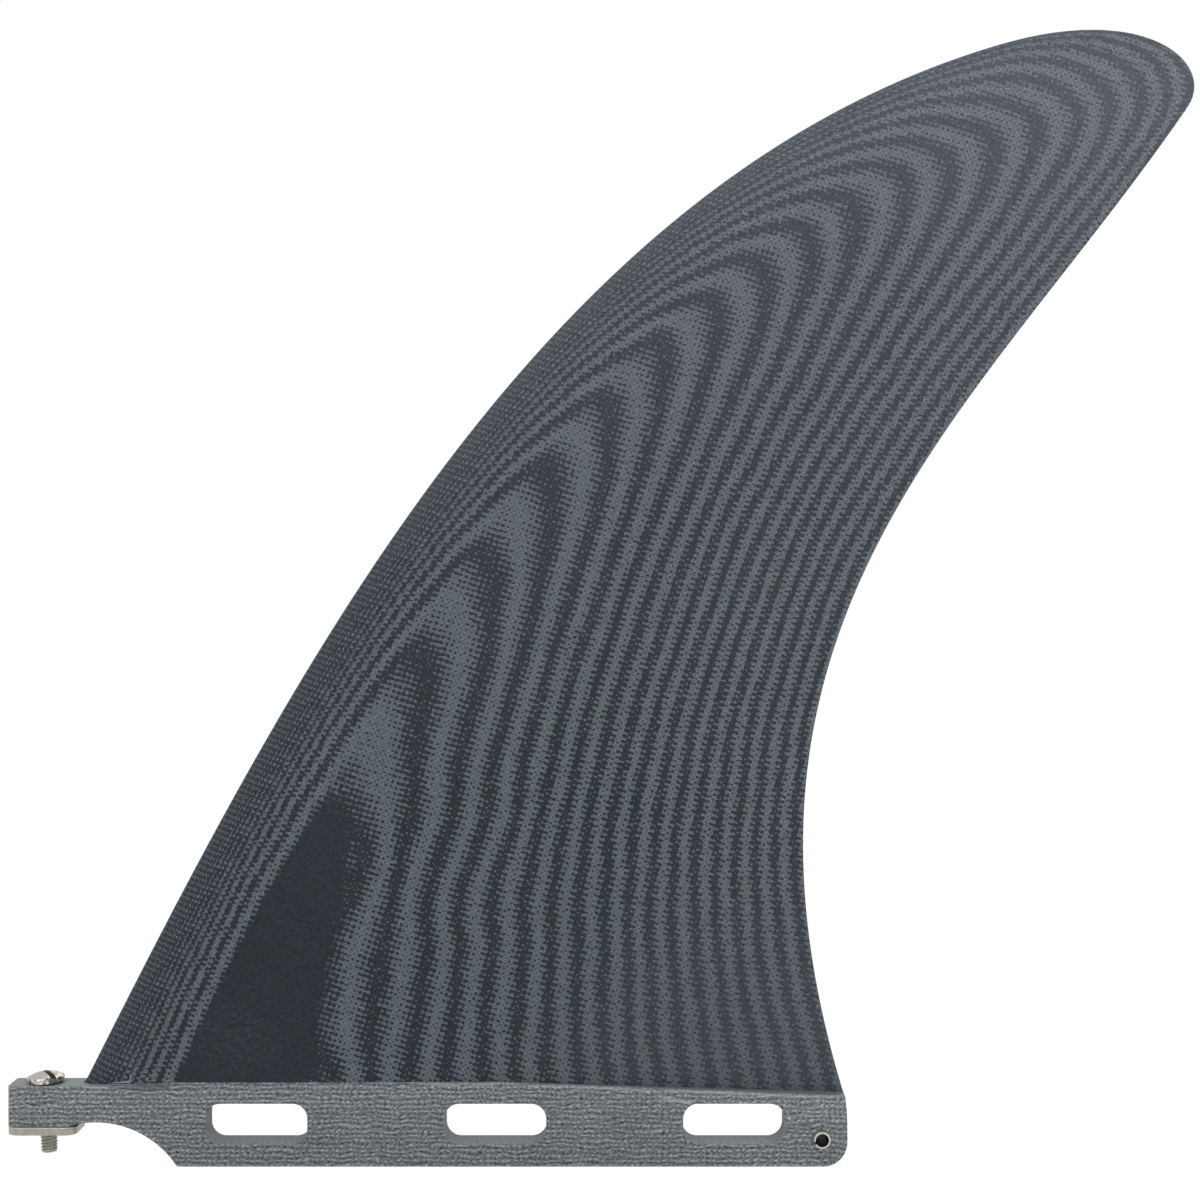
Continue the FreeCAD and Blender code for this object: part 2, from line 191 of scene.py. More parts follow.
class NodeSheet:
    """A node tree being written, one node a call."""

    def __init__(self, tree: bpy.types.NodeTree) -> None:
        """Start on an empty tree."""
        tree.nodes.clear()
        self.tree = tree

    def node(self, kind: str, settings: Mapping[str, object],
             sockets: Mapping[Union[int, str], Value], output: Union[int, str] = 0) -> Wire:
        """Add any node.

        Args:
            kind: The node's type.
            settings: The node's own settings, which are set first.
            sockets: What each input gets, a wire or a constant.
            output: The output that is wanted.

        Returns:
            The wanted output.
        """
        node = self.tree.nodes.new(kind)
        for name, value in settings.items():
            setattr(node, name, value)
        for name, value in sockets.items():
            if isinstance(value, Wire):
                self.tree.links.new(value.socket, node.inputs[name])
            else:
                node.inputs[name].default_value = value
        return Wire(self, node.outputs[output] if node.outputs else None)

    def place(self) -> Place:
        """Read where the point is that is being shaded.

        Returns:
            The point's X, Y and Z in millimetres.
        """
        point = self.node("ShaderNodeTexCoord", {}, {}, "Object")
        scaled = self.node("ShaderNodeVectorMath", {"operation": "SCALE"},
                           {0: point, "Scale": 1 / MM})
        return tuple(self.node("ShaderNodeSeparateXYZ", {}, {0: scaled}, i) for i in range(3))

    def steepness(self) -> Wire:
        """Read how far the surface leans out of the panel's plane.

        Returns:
            0 along the plies, 1 square to them.
        """
        normal = self.node("ShaderNodeNewGeometry", {}, {}, "Normal")
        face = abs(self.node("ShaderNodeSeparateXYZ", {}, {0: normal}, 1))
        return (1.0 - face * face).clamped().power(0.5)

    def vector(self, across: Value, through: Value, up: Value) -> Wire:
        """Join three values into a vector."""
        return self.node("ShaderNodeCombineXYZ", {}, {0: across, 1: through, 2: up})

    def noise(self, place: Sequence[Value], pattern: Mottle) -> Wire:
        """Return noise about 0, most of it within a quarter either way.

        Args:
            place: The point's X, Y and Z in millimetres.
            pattern: The noise's grain.

        Returns:
            The noise.
        """
        scaled = (axis * scale if scale else pattern.layer
                  for axis, scale in zip(place, pattern.scales))
        noise = self.node("ShaderNodeTexNoise", {"normalize": True},
                          {"Vector": self.vector(*scaled), "Scale": 1.0,
                           "Detail": pattern.detail, "Roughness": pattern.roughness})
        return noise - 0.5

    def spot(self, place: Place, spot: Spot) -> Wire:
        """Return 1 in the core of an oval place, falling to 0 at its rim.

        Args:
            place: The point's X, Y and Z in millimetres.
            spot: The oval place.

        Returns:
            The share, 0 to 1.
        """
        (x, z), (reach_x, reach_z) = spot.centre, spot.reach
        away = self.vector((place[0] - x) / reach_x, 0.0, (place[2] - z) / reach_z)
        share = self.node("ShaderNodeVectorMath", {"operation": "LENGTH"}, {0: away}, 1)
        return share.rise(1.0, spot.core)

    def stroke(self, place: Place, line: Stroke) -> Wire:
        """Return 1 along a straight stroke, fading out past its width and at its ends.

        Args:
            place: The point's X, Y and Z in millimetres.
            line: The stroke.

        Returns:
            The share, 0 to 1.
        """
        (x_from, z_from), (x_to, z_to) = line.start, line.end
        run = math.dist(line.start, line.end)
        along_x, along_z = (x_to - x_from) / run, (z_to - z_from) / run
        across, up = place[0] - x_from, place[2] - z_from
        along = across * along_x + up * along_z
        aside = abs(up * along_x - across * along_z)
        ends = along.rise(0.0, line.fade_in * run) * along.rise(run, line.fade_out * run)
        return aside.rise(line.width, line.core * line.width) * ends

    def strokes(self, place: Place, lines: Sequence[Stroke]) -> Wire:
        """Return a list of strokes together, on the near side alone and broken up by noise.

        Args:
            place: The point's X, Y and Z in millimetres.
            lines: The strokes.

        Returns:
            The share, 0 to 1.
        """
        total: Value = 0.0
        for line in lines:
            total = self.stroke(place, line) + total
        breaks = self.noise(place, STROKE_BREAKS).rise(*STROKE_GAPS)
        return (total * breaks * place[1].rise(*NEAR_SIDE)).clamped()

    def mix(self, share: Value, first: Value, second: Value, blend: str = "MIX") -> Wire:
        """Mix two colours.

        Args:
            share: How much of the second shows.
            first: The first colour.
            second: The second colour.
            blend: How they mix.

        Returns:
            The mixed colour.
        """
        first, second = (c if isinstance(c, Wire) else (*c, 1.0) for c in (first, second))
        return self.node("ShaderNodeMix", {"data_type": "RGBA", "blend_type": blend},
                         {0: share, 6: first, 7: second}, 2)

    def brighten(self, colour: Value, gain: Wire) -> Wire:
        """Multiply a colour by a value."""
        return self.node("ShaderNodeVectorMath", {"operation": "SCALE"},
                         {0: colour, "Scale": gain})

    def bump(self, height: Wire, depth: float) -> Wire:
        """Return the normal of a surface whose height runs from 0 to 1 over a depth in mm."""
        return self.node("ShaderNodeBump", {}, {"Strength": 1.0, "Distance": depth * MM,
                                                "Height": height})

    def surface(self, sockets: Mapping[str, Value]) -> None:
        """End the tree in a principled shader with these sockets."""
        shader = self.node("ShaderNodeBsdfPrincipled", {}, sockets)
        self.node("ShaderNodeOutputMaterial", {}, {"Surface": shader})


def new_material(name: str) -> tuple[bpy.types.Material, NodeSheet]:
    """Start a material on an empty sheet.

    Args:
        name: The material's name.

    Returns:
        The material and its sheet.
    """
    material = bpy.data.materials.new(name)
    material.use_nodes = True
    return material, NodeSheet(material.node_tree)


# Finishes


@dataclass(frozen=True)
class Wobble(Spot):
    """An oval place where hand sanding strayed from the foil, by a share of a ply pair."""

    pairs: float = 0.0


@dataclass(frozen=True)
class PlyStack:
    """The laminate's make-up: dark and light cloth in turn, from each face to the middle."""

    half_thickness: float = 4.65
    pair_thickness: float = 0.245
    weft_pitch: float = 1.40
    warp_pitch: float = 1.36
    weave_turn: float = math.radians(18.1)
    weave_depth: float = 0.26
    weft_share: float = 0.6
    yarn_wander: float = 1.1
    weft_drift: Mottle = Mottle((1 / 16, 0.0, 1 / 16))
    warp_drift: Mottle = Mottle((1 / 16, 0.0, 1 / 16), layer=40.0)
    ply_wander: float = 0.55
    ply_swell: Mottle = Mottle((1 / 18, 1 / 9, 1 / 24), 2.0)
    fraying: float = 0.9
    frayed_yarns: Mottle = Mottle((1.0, 1.0, 1.0), 3.0, 0.75)
    first_ply: Ramp = (0.02, 0.20)
    wobbles: tuple[Wobble, ...] = (
        Wobble((-15.5, 55.0), (13.0, 23.0), pairs=-0.34),
        Wobble((-22.5, -1.5), (14.0, 15.0), pairs=-0.38),
        Wobble((12.0, 45.0), (24.0, 13.0), pairs=0.22),
        Wobble((14.0, 66.0), (24.0, 12.0), pairs=-0.16),
    )

    def yarns(self, sheet: NodeSheet, place: Place) -> tuple[Wire, Wire]:
        """Lay the cloth's yarns.

        Args:
            sheet: The sheet that the nodes go on.
            place: The point's X, Y and Z in millimetres.

        Returns:
            The crowns and hollows, 1 to -1, of the weft and of the warp.
        """
        across, _, up = place
        cosine, sine = math.cos(self.weave_turn), math.sin(self.weave_turn)
        weft = (across * sine + up * cosine) / self.weft_pitch
        warp = (up * sine - across * cosine) / self.warp_pitch
        weft = weft + sheet.noise(place, self.weft_drift) * self.yarn_wander
        warp = warp + sheet.noise(place, self.warp_drift) * self.yarn_wander
        return weft.wave(), warp.wave()

    def weave(self, weft: Wire, warp: Wire) -> Wire:
        """Return the cloth's crowns and hollows, the weft's rows the stronger."""
        return weft * self.weft_share + warp * (1 - self.weft_share)

    def pairs(self, through: Wire) -> Wire:
        """Return how many ply pairs lie between a point and the panel's face."""
        return (self.half_thickness - abs(through)) / self.pair_thickness

    def depth(self, sheet: NodeSheet, place: Place, weave: Wire) -> Wire:
        """Return the ply pairs over a point, bent by the cloth's weave and by hand sanding.

        Args:
            sheet: The sheet that the nodes go on.
            place: The point's X, Y and Z in millimetres.
            weave: The cloth's crowns and hollows.

        Returns:
            The number of pairs.
        """
        pairs = self.pairs(place[1])
        bend = (weave * self.weave_depth
                + sheet.noise(place, self.ply_swell) * self.ply_wander
                + sheet.noise(place, self.frayed_yarns) * self.fraying)
        for wobble in self.wobbles:
            bend = bend + sheet.spot(place, wobble) * wobble.pairs
        return pairs + bend * pairs.rise(*self.first_ply)


@dataclass(frozen=True)
class BladeFinish:
    """Foiled laminate, sanded satin: bands of dark and light cloth, paler towards the tip by
    sanding haze and painted light from above.
    """

    name: str = "blade_laminate"
    plies: PlyStack = PlyStack()
    dark: Colour = paint(35, 43, 48)
    light: Colour = paint(97, 105, 110)
    # Dark and light cloth as paled by sanding haze and painted light from above
    dark_hazed_and_lit: Colour = paint(89, 94, 102)
    light_hazed_and_lit: Colour = paint(116, 120, 125)
    scratched: Colour = paint(150, 156, 158)
    greenish: Colour = (0.97, 1.01, 0.98)
    bluish: Colour = (0.98, 0.99, 1.07)
    cast: Mottle = Mottle((1 / 4, 0.0, 1 / 5), 2.0)
    cast_change: Ramp = (-0.12, 0.12)
    # Cloth
    fleck: Mottle = Mottle((1.5, 1.0, 1.5), 1.0, 0.7)
    fleck_in_tone: float = 0.9
    ply_change: Ramp = (-0.5, 0.65)
    row_change: Ramp = (-0.5, 0.6)
    row_weights: tuple[float, float, float] = (0.7, 0.35, 1.1)
    steep_slopes: Ramp = (0.05, 0.22)
    rows_on_steep: float = 0.9
    # Where the cut runs along the plies, and where resin veils them at the root
    edge_on_slopes: Ramp = (0.25, 0.6)
    edge_on_share: float = 0.4
    edge_on_tone: float = 0.65
    veil_up: Ramp = (70.0, 0.0)
    veil_across: Ramp = (0.0, 75.0)
    veil_share: float = 0.45
    veil_tone: float = 0.22
    # Sanding haze and painted light from above: paler towards the tip and at thin places
    haze_and_light_height: float = 262.0
    haze_and_light_power: float = 2.7
    haze_and_light_cloud: Mottle = Mottle((1 / 30, 0.0, 1 / 45))
    haze_and_light_clouding: float = 0.2
    thin_blade: Ramp = (3.4, 0.4)
    thin_haze_and_light: float = 0.14
    # Fine light and dark marks, and painted glints of light
    under_face: Ramp = (0.1, 0.5)
    outline_tones: tuple[float, float, float, float] = (0.05, 0.45, 0.5, 0.95)
    outline_gain: float = 0.16
    gap_tones: tuple[float, float, float, float] = (-0.95, -0.5, -0.45, -0.05)
    gap_loss: float = 0.22
    pinhole_change: Ramp = (0.3, 0.8)
    pinhole_loss: float = 0.34
    sparkle: Mottle = Mottle((1.9, 0.0, 1.9), 1.0, 0.7, layer=9.0)
    glint_change: Ramp = (0.03, 0.17)
    glint_gain: float = 0.5
    glint_on_dark: float = 0.25
    glint_reach: Ramp = (4.4, 1.2)
    glint_levels: tuple[float, float] = (0.65, 0.5)
    cloth: Mottle = Mottle((1.4, 1.0, 3.2), 2.0, 0.6)
    cloth_gain_at_face: float = 2.4
    cloth_gain_lost: float = 1.8
    fleck_gain: float = 0.7
    level: float = 0.94
    # Wear
    scuff: Spot = Spot((-47.0, 11.0), (15.0, 12.0))
    scuff_cloud: Mottle = Mottle((1 / 1.6, 0.0, 1 / 1.2), 4.0, 0.75, layer=3.0)
    scuff_change: Ramp = (-0.05, 0.25)
    scuff_share: float = 0.4
    scratches: tuple[Stroke, ...] = (
        Stroke((-78.2, 0.5), (-72.6, 0.85), 0.22),
        Stroke((-76.0, 0.75), (-72.9, 1.15), 0.14),
        Stroke((-73.3, 0.7), (-73.0, 2.9), 0.16),
        Stroke((-69.5, 1.3), (-68.4, 2.1), 0.2),
    )
    roughness: float = 0.52
    fleck_roughness: float = 0.25
    shine: float = 0.22
    relief_weights: tuple[float, float] = (0.25, 0.6)
    bump_depth: float = 0.02

    def light_share(self, tone: Wire, steep: Wire, slope: Wire, rows: Wire, fleck: Wire,
                    place: Place) -> Wire:
        """Tell light plies from dark ones.

        Args:
            tone: 1 in the middle of a light ply, -1 in the middle of a dark one.
            steep: Where the surface cuts across the plies.
            slope: How far the surface leans out of the panel's plane.
            rows: The yarns that show on steep places.
            fleck: Fine noise.
            place: The point's X, Y and Z in millimetres.

        Returns:
            How light the laminate is, 0 to 1.
        """
        across, _, up = place
        edge_on = slope.rise(*self.edge_on_slopes) * self.edge_on_share
        veil = up.rise(*self.veil_up) * across.rise(*self.veil_across)
        light = (tone + fleck * self.fleck_in_tone).rise(*self.ply_change)
        light = light * (1.0 - edge_on) + edge_on * self.edge_on_tone
        light = light * (1.0 - veil * self.veil_share) + veil * self.veil_tone
        return light * (1.0 - steep * (1.0 - rows) * self.rows_on_steep)

    def haze_and_light(self, sheet: NodeSheet, place: Place, steep: Wire) -> Wire:
        """Return how far sanding haze and painted light from above pale the laminate: most at
        the tip and at thin places.

        Args:
            sheet: The sheet that the nodes go on.
            place: The point's X, Y and Z in millimetres.
            steep: Where the surface cuts across the plies.

        Returns:
            The haze and painted light, 0 to 1.
        """
        _, through, up = place
        haze_and_light = (up / self.haze_and_light_height).clamped().power(self.haze_and_light_power)
        haze_and_light = haze_and_light + abs(through).rise(*self.thin_blade) * (1.0 - steep) * self.thin_haze_and_light
        return (haze_and_light + sheet.noise(place, self.haze_and_light_cloud) * self.haze_and_light_clouding).clamped()

    def gain(self, sheet: NodeSheet, place: Place, tone: Wire, light: Wire, crossings: Wire,
             fleck: Wire) -> Wire:
        """Return what the colour is multiplied by for the yarns' fine light and dark marks and
        for painted glints.

        Args:
            sheet: The sheet that the nodes go on.
            place: The point's X, Y and Z in millimetres.
            tone: 1 in the middle of a light ply, -1 in the middle of a dark one.
            light: How light the laminate is.
            crossings: Where the yarns' crowns cross.
            fleck: Fine noise.

        Returns:
            The gain, about 1.
        """
        through = place[1]
        outline = tone.band(*self.outline_tones)
        gap = tone.band(*self.gap_tones)
        inside = self.plies.pairs(through).rise(*self.under_face)
        pinholes = (crossings + fleck).rise(*self.pinhole_change) * light
        # Painted glints: small bright highlights, most on the light cloth
        sparkle = sheet.noise(place, self.sparkle).rise(*self.glint_change)
        glints = sparkle * inside * (light * (1 - self.glint_on_dark) + self.glint_on_dark)
        at_face, more_inside = self.glint_levels
        glints = glints * (abs(through).rise(*self.glint_reach) * more_inside + at_face)
        cloth = sheet.noise(place, self.cloth)
        gain = (self.level - pinholes * self.pinhole_loss + glints * self.glint_gain
                + (outline * self.outline_gain - gap * self.gap_loss) * inside)
        return (gain + fleck * self.fleck_gain
                + cloth * (self.cloth_gain_at_face - inside * self.cloth_gain_lost))

    def make(self) -> bpy.types.Material:
        """Build the finish on a new sheet.

        Returns:
            The material.
        """
        material, sheet = new_material(self.name)
        place = sheet.place()
        weft, warp = self.plies.yarns(sheet, place)
        weave = self.plies.weave(weft, warp)
        slope = sheet.steepness()
        steep = slope.rise(*self.steep_slopes)
        fleck = sheet.noise(place, self.fleck)
        tone = self.plies.depth(sheet, place, weave).wave() * -1
        rows = sum(part * weight for part, weight in zip((weft, warp, fleck), self.row_weights))
        rows = rows.rise(*self.row_change)
        light = self.light_share(tone, steep, slope, rows, fleck, place)
        # Sanding haze and painted light from above, paler towards the tip
        haze_and_light = self.haze_and_light(sheet, place, steep)
        colour = sheet.mix(light, sheet.mix(haze_and_light, self.dark, self.dark_hazed_and_lit),
                           sheet.mix(haze_and_light, self.light, self.light_hazed_and_lit))
        gain = self.gain(sheet, place, tone, light, weft * warp, fleck)
        cast = sheet.noise(place, self.cast).rise(*self.cast_change)
        tint = sheet.mix(cast, self.greenish, self.bluish)
        colour = sheet.mix(1.0, sheet.brighten(colour, gain), tint, "MULTIPLY")
        cloud = sheet.noise(place, self.scuff_cloud).rise(*self.scuff_change)
        smudges = sheet.spot(place, self.scuff) * cloud * self.scuff_share
        colour = sheet.mix(smudges, colour, self.light)
        colour = sheet.mix(sheet.strokes(place, self.scratches), colour, self.scratched)
        by_weave, by_fleck = self.relief_weights
        relief = weave * by_weave + fleck * by_fleck + 0.5
        sheet.surface({
            "Base Color": colour,
            "Roughness": self.roughness + fleck * self.fleck_roughness,
            "Specular IOR Level": self.shine,
            "Normal": sheet.bump(relief, self.bump_depth),
        })
        return material


@dataclass(frozen=True)
class TabFinish:
    """Milled laminate: faces abraded to a paler grey, cut edges with every ply as a line."""

    name: str = "tab_laminate"
    plies: PlyStack = PlyStack()
    # Cut edges
    dark: Colour = paint(112, 117, 120)
    light: Colour = paint(152, 157, 159)
    ragged: Mottle = Mottle((1 / 3, 2.0, 1 / 3), 2.0)
    ragged_pairs: float = 0.8
    ragged_gain: float = 0.5
    line_change: Ramp = (-0.6, 0.6)
    ledge_across: Ramp = (-66.0, -50.0)
    ledge_up: Ramp = (-3.5, -3.0)
    ledge_loss: float = 0.32
    # A pale line along the ledge's outer edges is a painted highlight
    ledge_rim: Ramp = (4.1, 4.4)
    below_up: Ramp = (-3.5, -5.0)
    below_across: Ramp = (-82.0, -84.0)
    below_loss: float = 0.26
    below_worn: Ramp = (4.0, -2.0)
    below_wear: float = 0.8
    # Faces: cells of worn cloth, in rows
    hollow: Colour = paint(50, 56, 60)
    face: Colour = paint(113, 118, 121)
    # Pale flecks of worn cloth, also the colour of the painted edge highlights
    scuff_and_highlight: Colour = paint(182, 187, 187)
    row_pitch: float = 1.2
    cell_pitch: float = 1.36
    cell_stagger: float = 0.22
    cell_drift: float = 2.0
    drift: Mottle = Mottle((1 / 5, 0.0, 1 / 3))
    drift_turns: float = 1.6
    dashes: Mottle = Mottle((1.1, 0.0, 1.9), 3.0, 0.8)
    dash_weight: float = 3.8
    wear: Mottle = Mottle((1 / 3, 0.0, 1 / 2.5), 2.0)
    row_weight: float = 0.34
    cell_weight: float = 0.2
    hollow_change: Ramp = (-0.8, -0.15)
    scuff_change: Ramp = (0.0, 0.95)
    # Slow changes of the faces' brightness
    cloud: Mottle = Mottle((1 / 11, 0.0, 1 / 3), 3.0, 0.6)
    cloud_rise: float = 14.0
    cloud_gain: float = 0.55
    upper_part: Ramp = (-19.0, 1.0)
    upper_gain: float = 0.12
    rear_part: Ramp = (50.0, 95.0)
    rear_gain: float = 0.13
    front_part: Ramp = (-60.0, -85.0)
    front_gain: float = 0.06
    level: float = 0.94
    # Marks: worn lines, and painted highlights just under the near top edges
    run_out_start: Point = (-77.0, 0.15)
    run_out_end: Point = (-62.7, -1.35)
    run_out_edge: Ramp = (-0.05, 0.15)
    run_out_fade: float = 0.5
    run_out_share: float = 0.85
    run_out_weave: float = 0.3
    dark_line_share: float = 0.8
    pale_line_share: float = 0.6
    pale_lines: tuple[Stroke, ...] = (
        Stroke((-66.0, -3.55), (-20.0, -3.65), 0.16),
        Stroke((-97.0, -8.3), (-88.0, -8.2), 0.22),
        # Painted highlight just under the tongue's near top edge
        Stroke((-84.5, -0.4), (-78.0, -0.3), 0.3),
        # Painted highlights just under the near top edge
        Stroke((-4.0, 0.45), (19.0, 0.5), 0.36),
        Stroke((17.0, 0.5), (58.0, -1.1), 0.36),
        Stroke((56.0, -1.05), (103.0, -2.8), 0.4),
        Stroke((56.0, -2.6), (66.0, -4.3), 0.8),
    )
    dark_lines: tuple[Stroke, ...] = (
        Stroke((-64.0, -4.25), (-28.0, -4.35), 0.14),
        Stroke((91.0, -2.25), (98.9, -2.55), 0.2),
        Stroke((-78.0, -0.1), (-66.0, -1.45), 0.28),
    )
    face_depths: Ramp = (0.2, 0.02)
    roughness: float = 0.6
    dash_roughness: float = 0.2
    shine: float = 0.2
    bump_depth: float = 0.05

    def cut_edge(self, sheet: NodeSheet, place: Place, below: Wire) -> Wire:
        """Draw every ply as a line on the cut edges.

        Args:
            sheet: The sheet that the nodes go on.
            place: The point's X, Y and Z in millimetres.
            below: The low edges, which are in shade.

        Returns:
            The edges' colour.
        """
        across, through, up = place
        ragged = sheet.noise(place, self.ragged)
        pairs = self.plies.pairs(through) + ragged * self.ragged_pairs
        lines = (pairs.wave() * -1).rise(*self.line_change)
        ledge = across.rise(*self.ledge_across) * up.rise(*self.ledge_up)
        edge = sheet.brighten(sheet.mix(lines, self.dark, self.light),
                              1.0 - ledge * self.ledge_loss - below * self.below_loss
                              + ragged * self.ragged_gain)
        # The pale line along the ledge's outer edges is a painted highlight
        return sheet.mix(abs(through).rise(*self.ledge_rim) * ledge, edge, self.scuff_and_highlight)

    def grain(self, sheet: NodeSheet, place: Place, dashes: Wire) -> Wire:
        """Return the worn cloth's cells, in rows along the tab.

        Args:
            sheet: The sheet that the nodes go on.
            place: X, Y and the way down the face, in millimetres.
            dashes: Short worn marks.

        Returns:
            The grain, about 0.
        """
        across, _, down = place
        drift = sheet.noise(place, self.drift) * self.drift_turns
        rows = (down / self.row_pitch + drift).wave()
        cells = (across / self.cell_pitch + rows * self.cell_stagger
                 + drift * self.cell_drift).wave()
        worn = sheet.noise(place, self.wear)
        return (rows * (worn + self.row_weight) + cells * (self.cell_weight - worn)
                + dashes * self.dash_weight)

    def brightness(self, sheet: NodeSheet, place: Place) -> Wire:
        """Return what the faces' colour is multiplied by: more at the top and at both ends.

        Args:
            sheet: The sheet that the nodes go on.
            place: The point's X, Y and Z in millimetres.

        Returns:
            The gain, about 1.
        """
        across, _, up = place
        cloud = sheet.noise(place, self.cloud)
        upper = (up + cloud * self.cloud_rise).rise(*self.upper_part) * self.upper_gain
        ends = (across.rise(*self.rear_part) * self.rear_gain
                + across.rise(*self.front_part) * self.front_gain)
        return upper + ends + cloud * self.cloud_gain + self.level

    def run_out(self, across: Wire, up: Wire) -> Wire:
        """Return where the blade's sanding ran out onto the tab, under its leading foot.

        Args:
            across: X in millimetres.
            up: Z in millimetres.

        Returns:
            The share, 0 to 1.
        """
        (x_from, z_from), (x_to, z_to) = self.run_out_start, self.run_out_end
        low_edge = (across - x_from) * ((z_to - z_from) / (x_to - x_from)) + z_from
        return ((up - low_edge).rise(*self.run_out_edge)
                * across.rise(x_to, x_to - self.run_out_fade) * self.run_out_share)

    def make(self) -> bpy.types.Material:
        """Build the finish on a new sheet.

        Returns:
            The material.
        """
        material, sheet = new_material(self.name)
        place = sheet.place()
        across, through, up = place
        weave = self.plies.weave(*self.plies.yarns(sheet, place))
        below = up.rise(*self.below_up) * (1.0 - across.rise(*self.below_across))
        edge = self.cut_edge(sheet, place, below)

        along_face = (across, through, up + through)
        dashes = sheet.noise(along_face, self.dashes)
        grain = self.grain(sheet, along_face, dashes)
        face = sheet.mix(grain.rise(*self.hollow_change), self.hollow, self.face)
        face = sheet.mix(grain.rise(*self.scuff_change), face, self.scuff_and_highlight)
        face = sheet.brighten(face, self.brightness(sheet, place))
        shallow = weave * self.run_out_weave + (1 - self.run_out_weave)
        face = sheet.mix(self.run_out(across, up), face, sheet.brighten(edge, shallow))
        # Dark worn lines; pale lines, those under the near top edges being painted highlights
        for lines, share, colour in ((self.dark_lines, self.dark_line_share, self.hollow),
                                     (self.pale_lines, self.pale_line_share, self.scuff_and_highlight)):
            face = sheet.mix(sheet.strokes(place, lines) * share, face, colour)

        start, full = (self.plies.half_thickness - depth for depth in self.face_depths)
        on_face = abs(through).rise(start, full)
        worn_in = below * through.rise(*self.below_worn) * self.below_wear
        sheet.surface({
            "Base Color": sheet.mix((on_face + worn_in).clamped(), edge, face),
            "Roughness": self.roughness + dashes * self.dash_roughness,
            "Specular IOR Level": self.shine,
            "Normal": sheet.bump(grain * 0.5 + 0.5, self.bump_depth),
        })
        return material


@dataclass(frozen=True)
class EdgeFinish:
    """Worn edges of the milled laminate, where bare glass fibre shows pale."""

    name: str = "edge_laminate"
    fibre: Colour = paint(198, 203, 203)
    resin: Colour = paint(112, 118, 121)
    fray: Mottle = Mottle((0.9, 2.0, 0.9), 3.0, 0.7)
    chip_change: Ramp = (-0.08, 0.16)
    worn_more: Ramp = (-4.0, -1.0)
    worn_more_share: float = 0.12
    roughness: float = 0.65
    fray_roughness: float = 0.2
    shine: float = 0.2
    bump_depth: float = 0.05

    def make(self) -> bpy.types.Material:
        """Build the finish on a new sheet.

        Returns:
            The material.
        """
        material, sheet = new_material(self.name)
        place = sheet.place()
        fray = sheet.noise(place, self.fray)
        chipped = fray + place[2].rise(*self.worn_more) * self.worn_more_share
        sheet.surface({
            "Base Color": sheet.mix(chipped.rise(*self.chip_change), self.resin, self.fibre),
            "Roughness": self.roughness + fray * self.fray_roughness,
            "Specular IOR Level": self.shine,
            "Normal": sheet.bump(fray + 0.5, self.bump_depth),
        })
        return material


class Grain(Enum):
    """How a steel surface was left by its making, with the pattern of its marks.

    A turned surface reads its pattern by the distance from its axis and by the height.
    """

    TURNED = Mottle((14.0, 2.0, 0.0), 2.0)
    TUMBLED = Mottle((5.0, 5.0, 5.0), 3.0, 0.6)
    ROLLED = Mottle((12.0, 0.8, 12.0), 2.0)


@dataclass(frozen=True)
class SteelFinish:
    """Stainless steel with the fine marks of its making, and dull stains."""

    name: str
    grain: Grain
    bright: Colour
    dull: Colour
    roughness: float
    centre: Point = (0.0, 0.0)
    # Colour of dirt and of painted shade in hollows
    shade_and_grime_colour: Colour = paint(58, 54, 49)
    stain: Mottle = Mottle((1 / 1.6, 1 / 1.6, 1 / 1.6), 3.0)
    stain_weight: float = 1.8
    mark_weight: float = 0.6
    dull_level: float = 0.4
    roughening: tuple[float, float, float] = (0.25, 0.3, 0.3)
    bump_depth: float = 0.012

    def painted_reflection(self, sheet: NodeSheet, metal: Wire, place: Place) -> Wire:
        """Return the metal's colour with a painted reflection: none on a plain piece."""
        return metal

    def shade_and_grime(self, place: Place) -> Value:
        """Return where dirt and painted shade sit, 0 to 1: nowhere on a plain piece."""
        return 0.0

    def marks(self, sheet: NodeSheet, place: Place) -> Wire:
        """Return the fine lines or pits of the metal's making.

        Args:
            sheet: The sheet that the nodes go on.
            place: The point's X, Y and Z in millimetres.

        Returns:
            The marks, about 0.
        """
        if self.grain is Grain.TURNED:
            across, through, up = place
            from_axis = (across - self.centre[0]).span(through - self.centre[1])
            return sheet.noise((from_axis, up, through), self.grain.value)
        return sheet.noise(place, self.grain.value)

    def make(self) -> bpy.types.Material:
        """Build the finish on a new sheet.

        Returns:
            The material.
        """
        material, sheet = new_material(self.name)
        place = sheet.place()
        marks = self.marks(sheet, place)
        stain = sheet.noise(place, self.stain)
        share = stain * self.stain_weight + self.dull_level + marks * self.mark_weight
        metal = self.painted_reflection(sheet, sheet.mix(share.clamped(), self.bright, self.dull), place)
        # Dirt and painted shade darken the colour and roughen the metal
        shade_and_grime = self.shade_and_grime(place)
        by_stain, by_marks, by_shade_and_grime = self.roughening
        sheet.surface({
            "Base Color": sheet.mix(shade_and_grime, metal, self.shade_and_grime_colour),
            "Metallic": 1.0,
            "Roughness": (self.roughness + stain * by_stain + marks * by_marks
                          + shade_and_grime * by_shade_and_grime),
            "Normal": sheet.bump(marks + 0.5, self.bump_depth),
        })
        return material


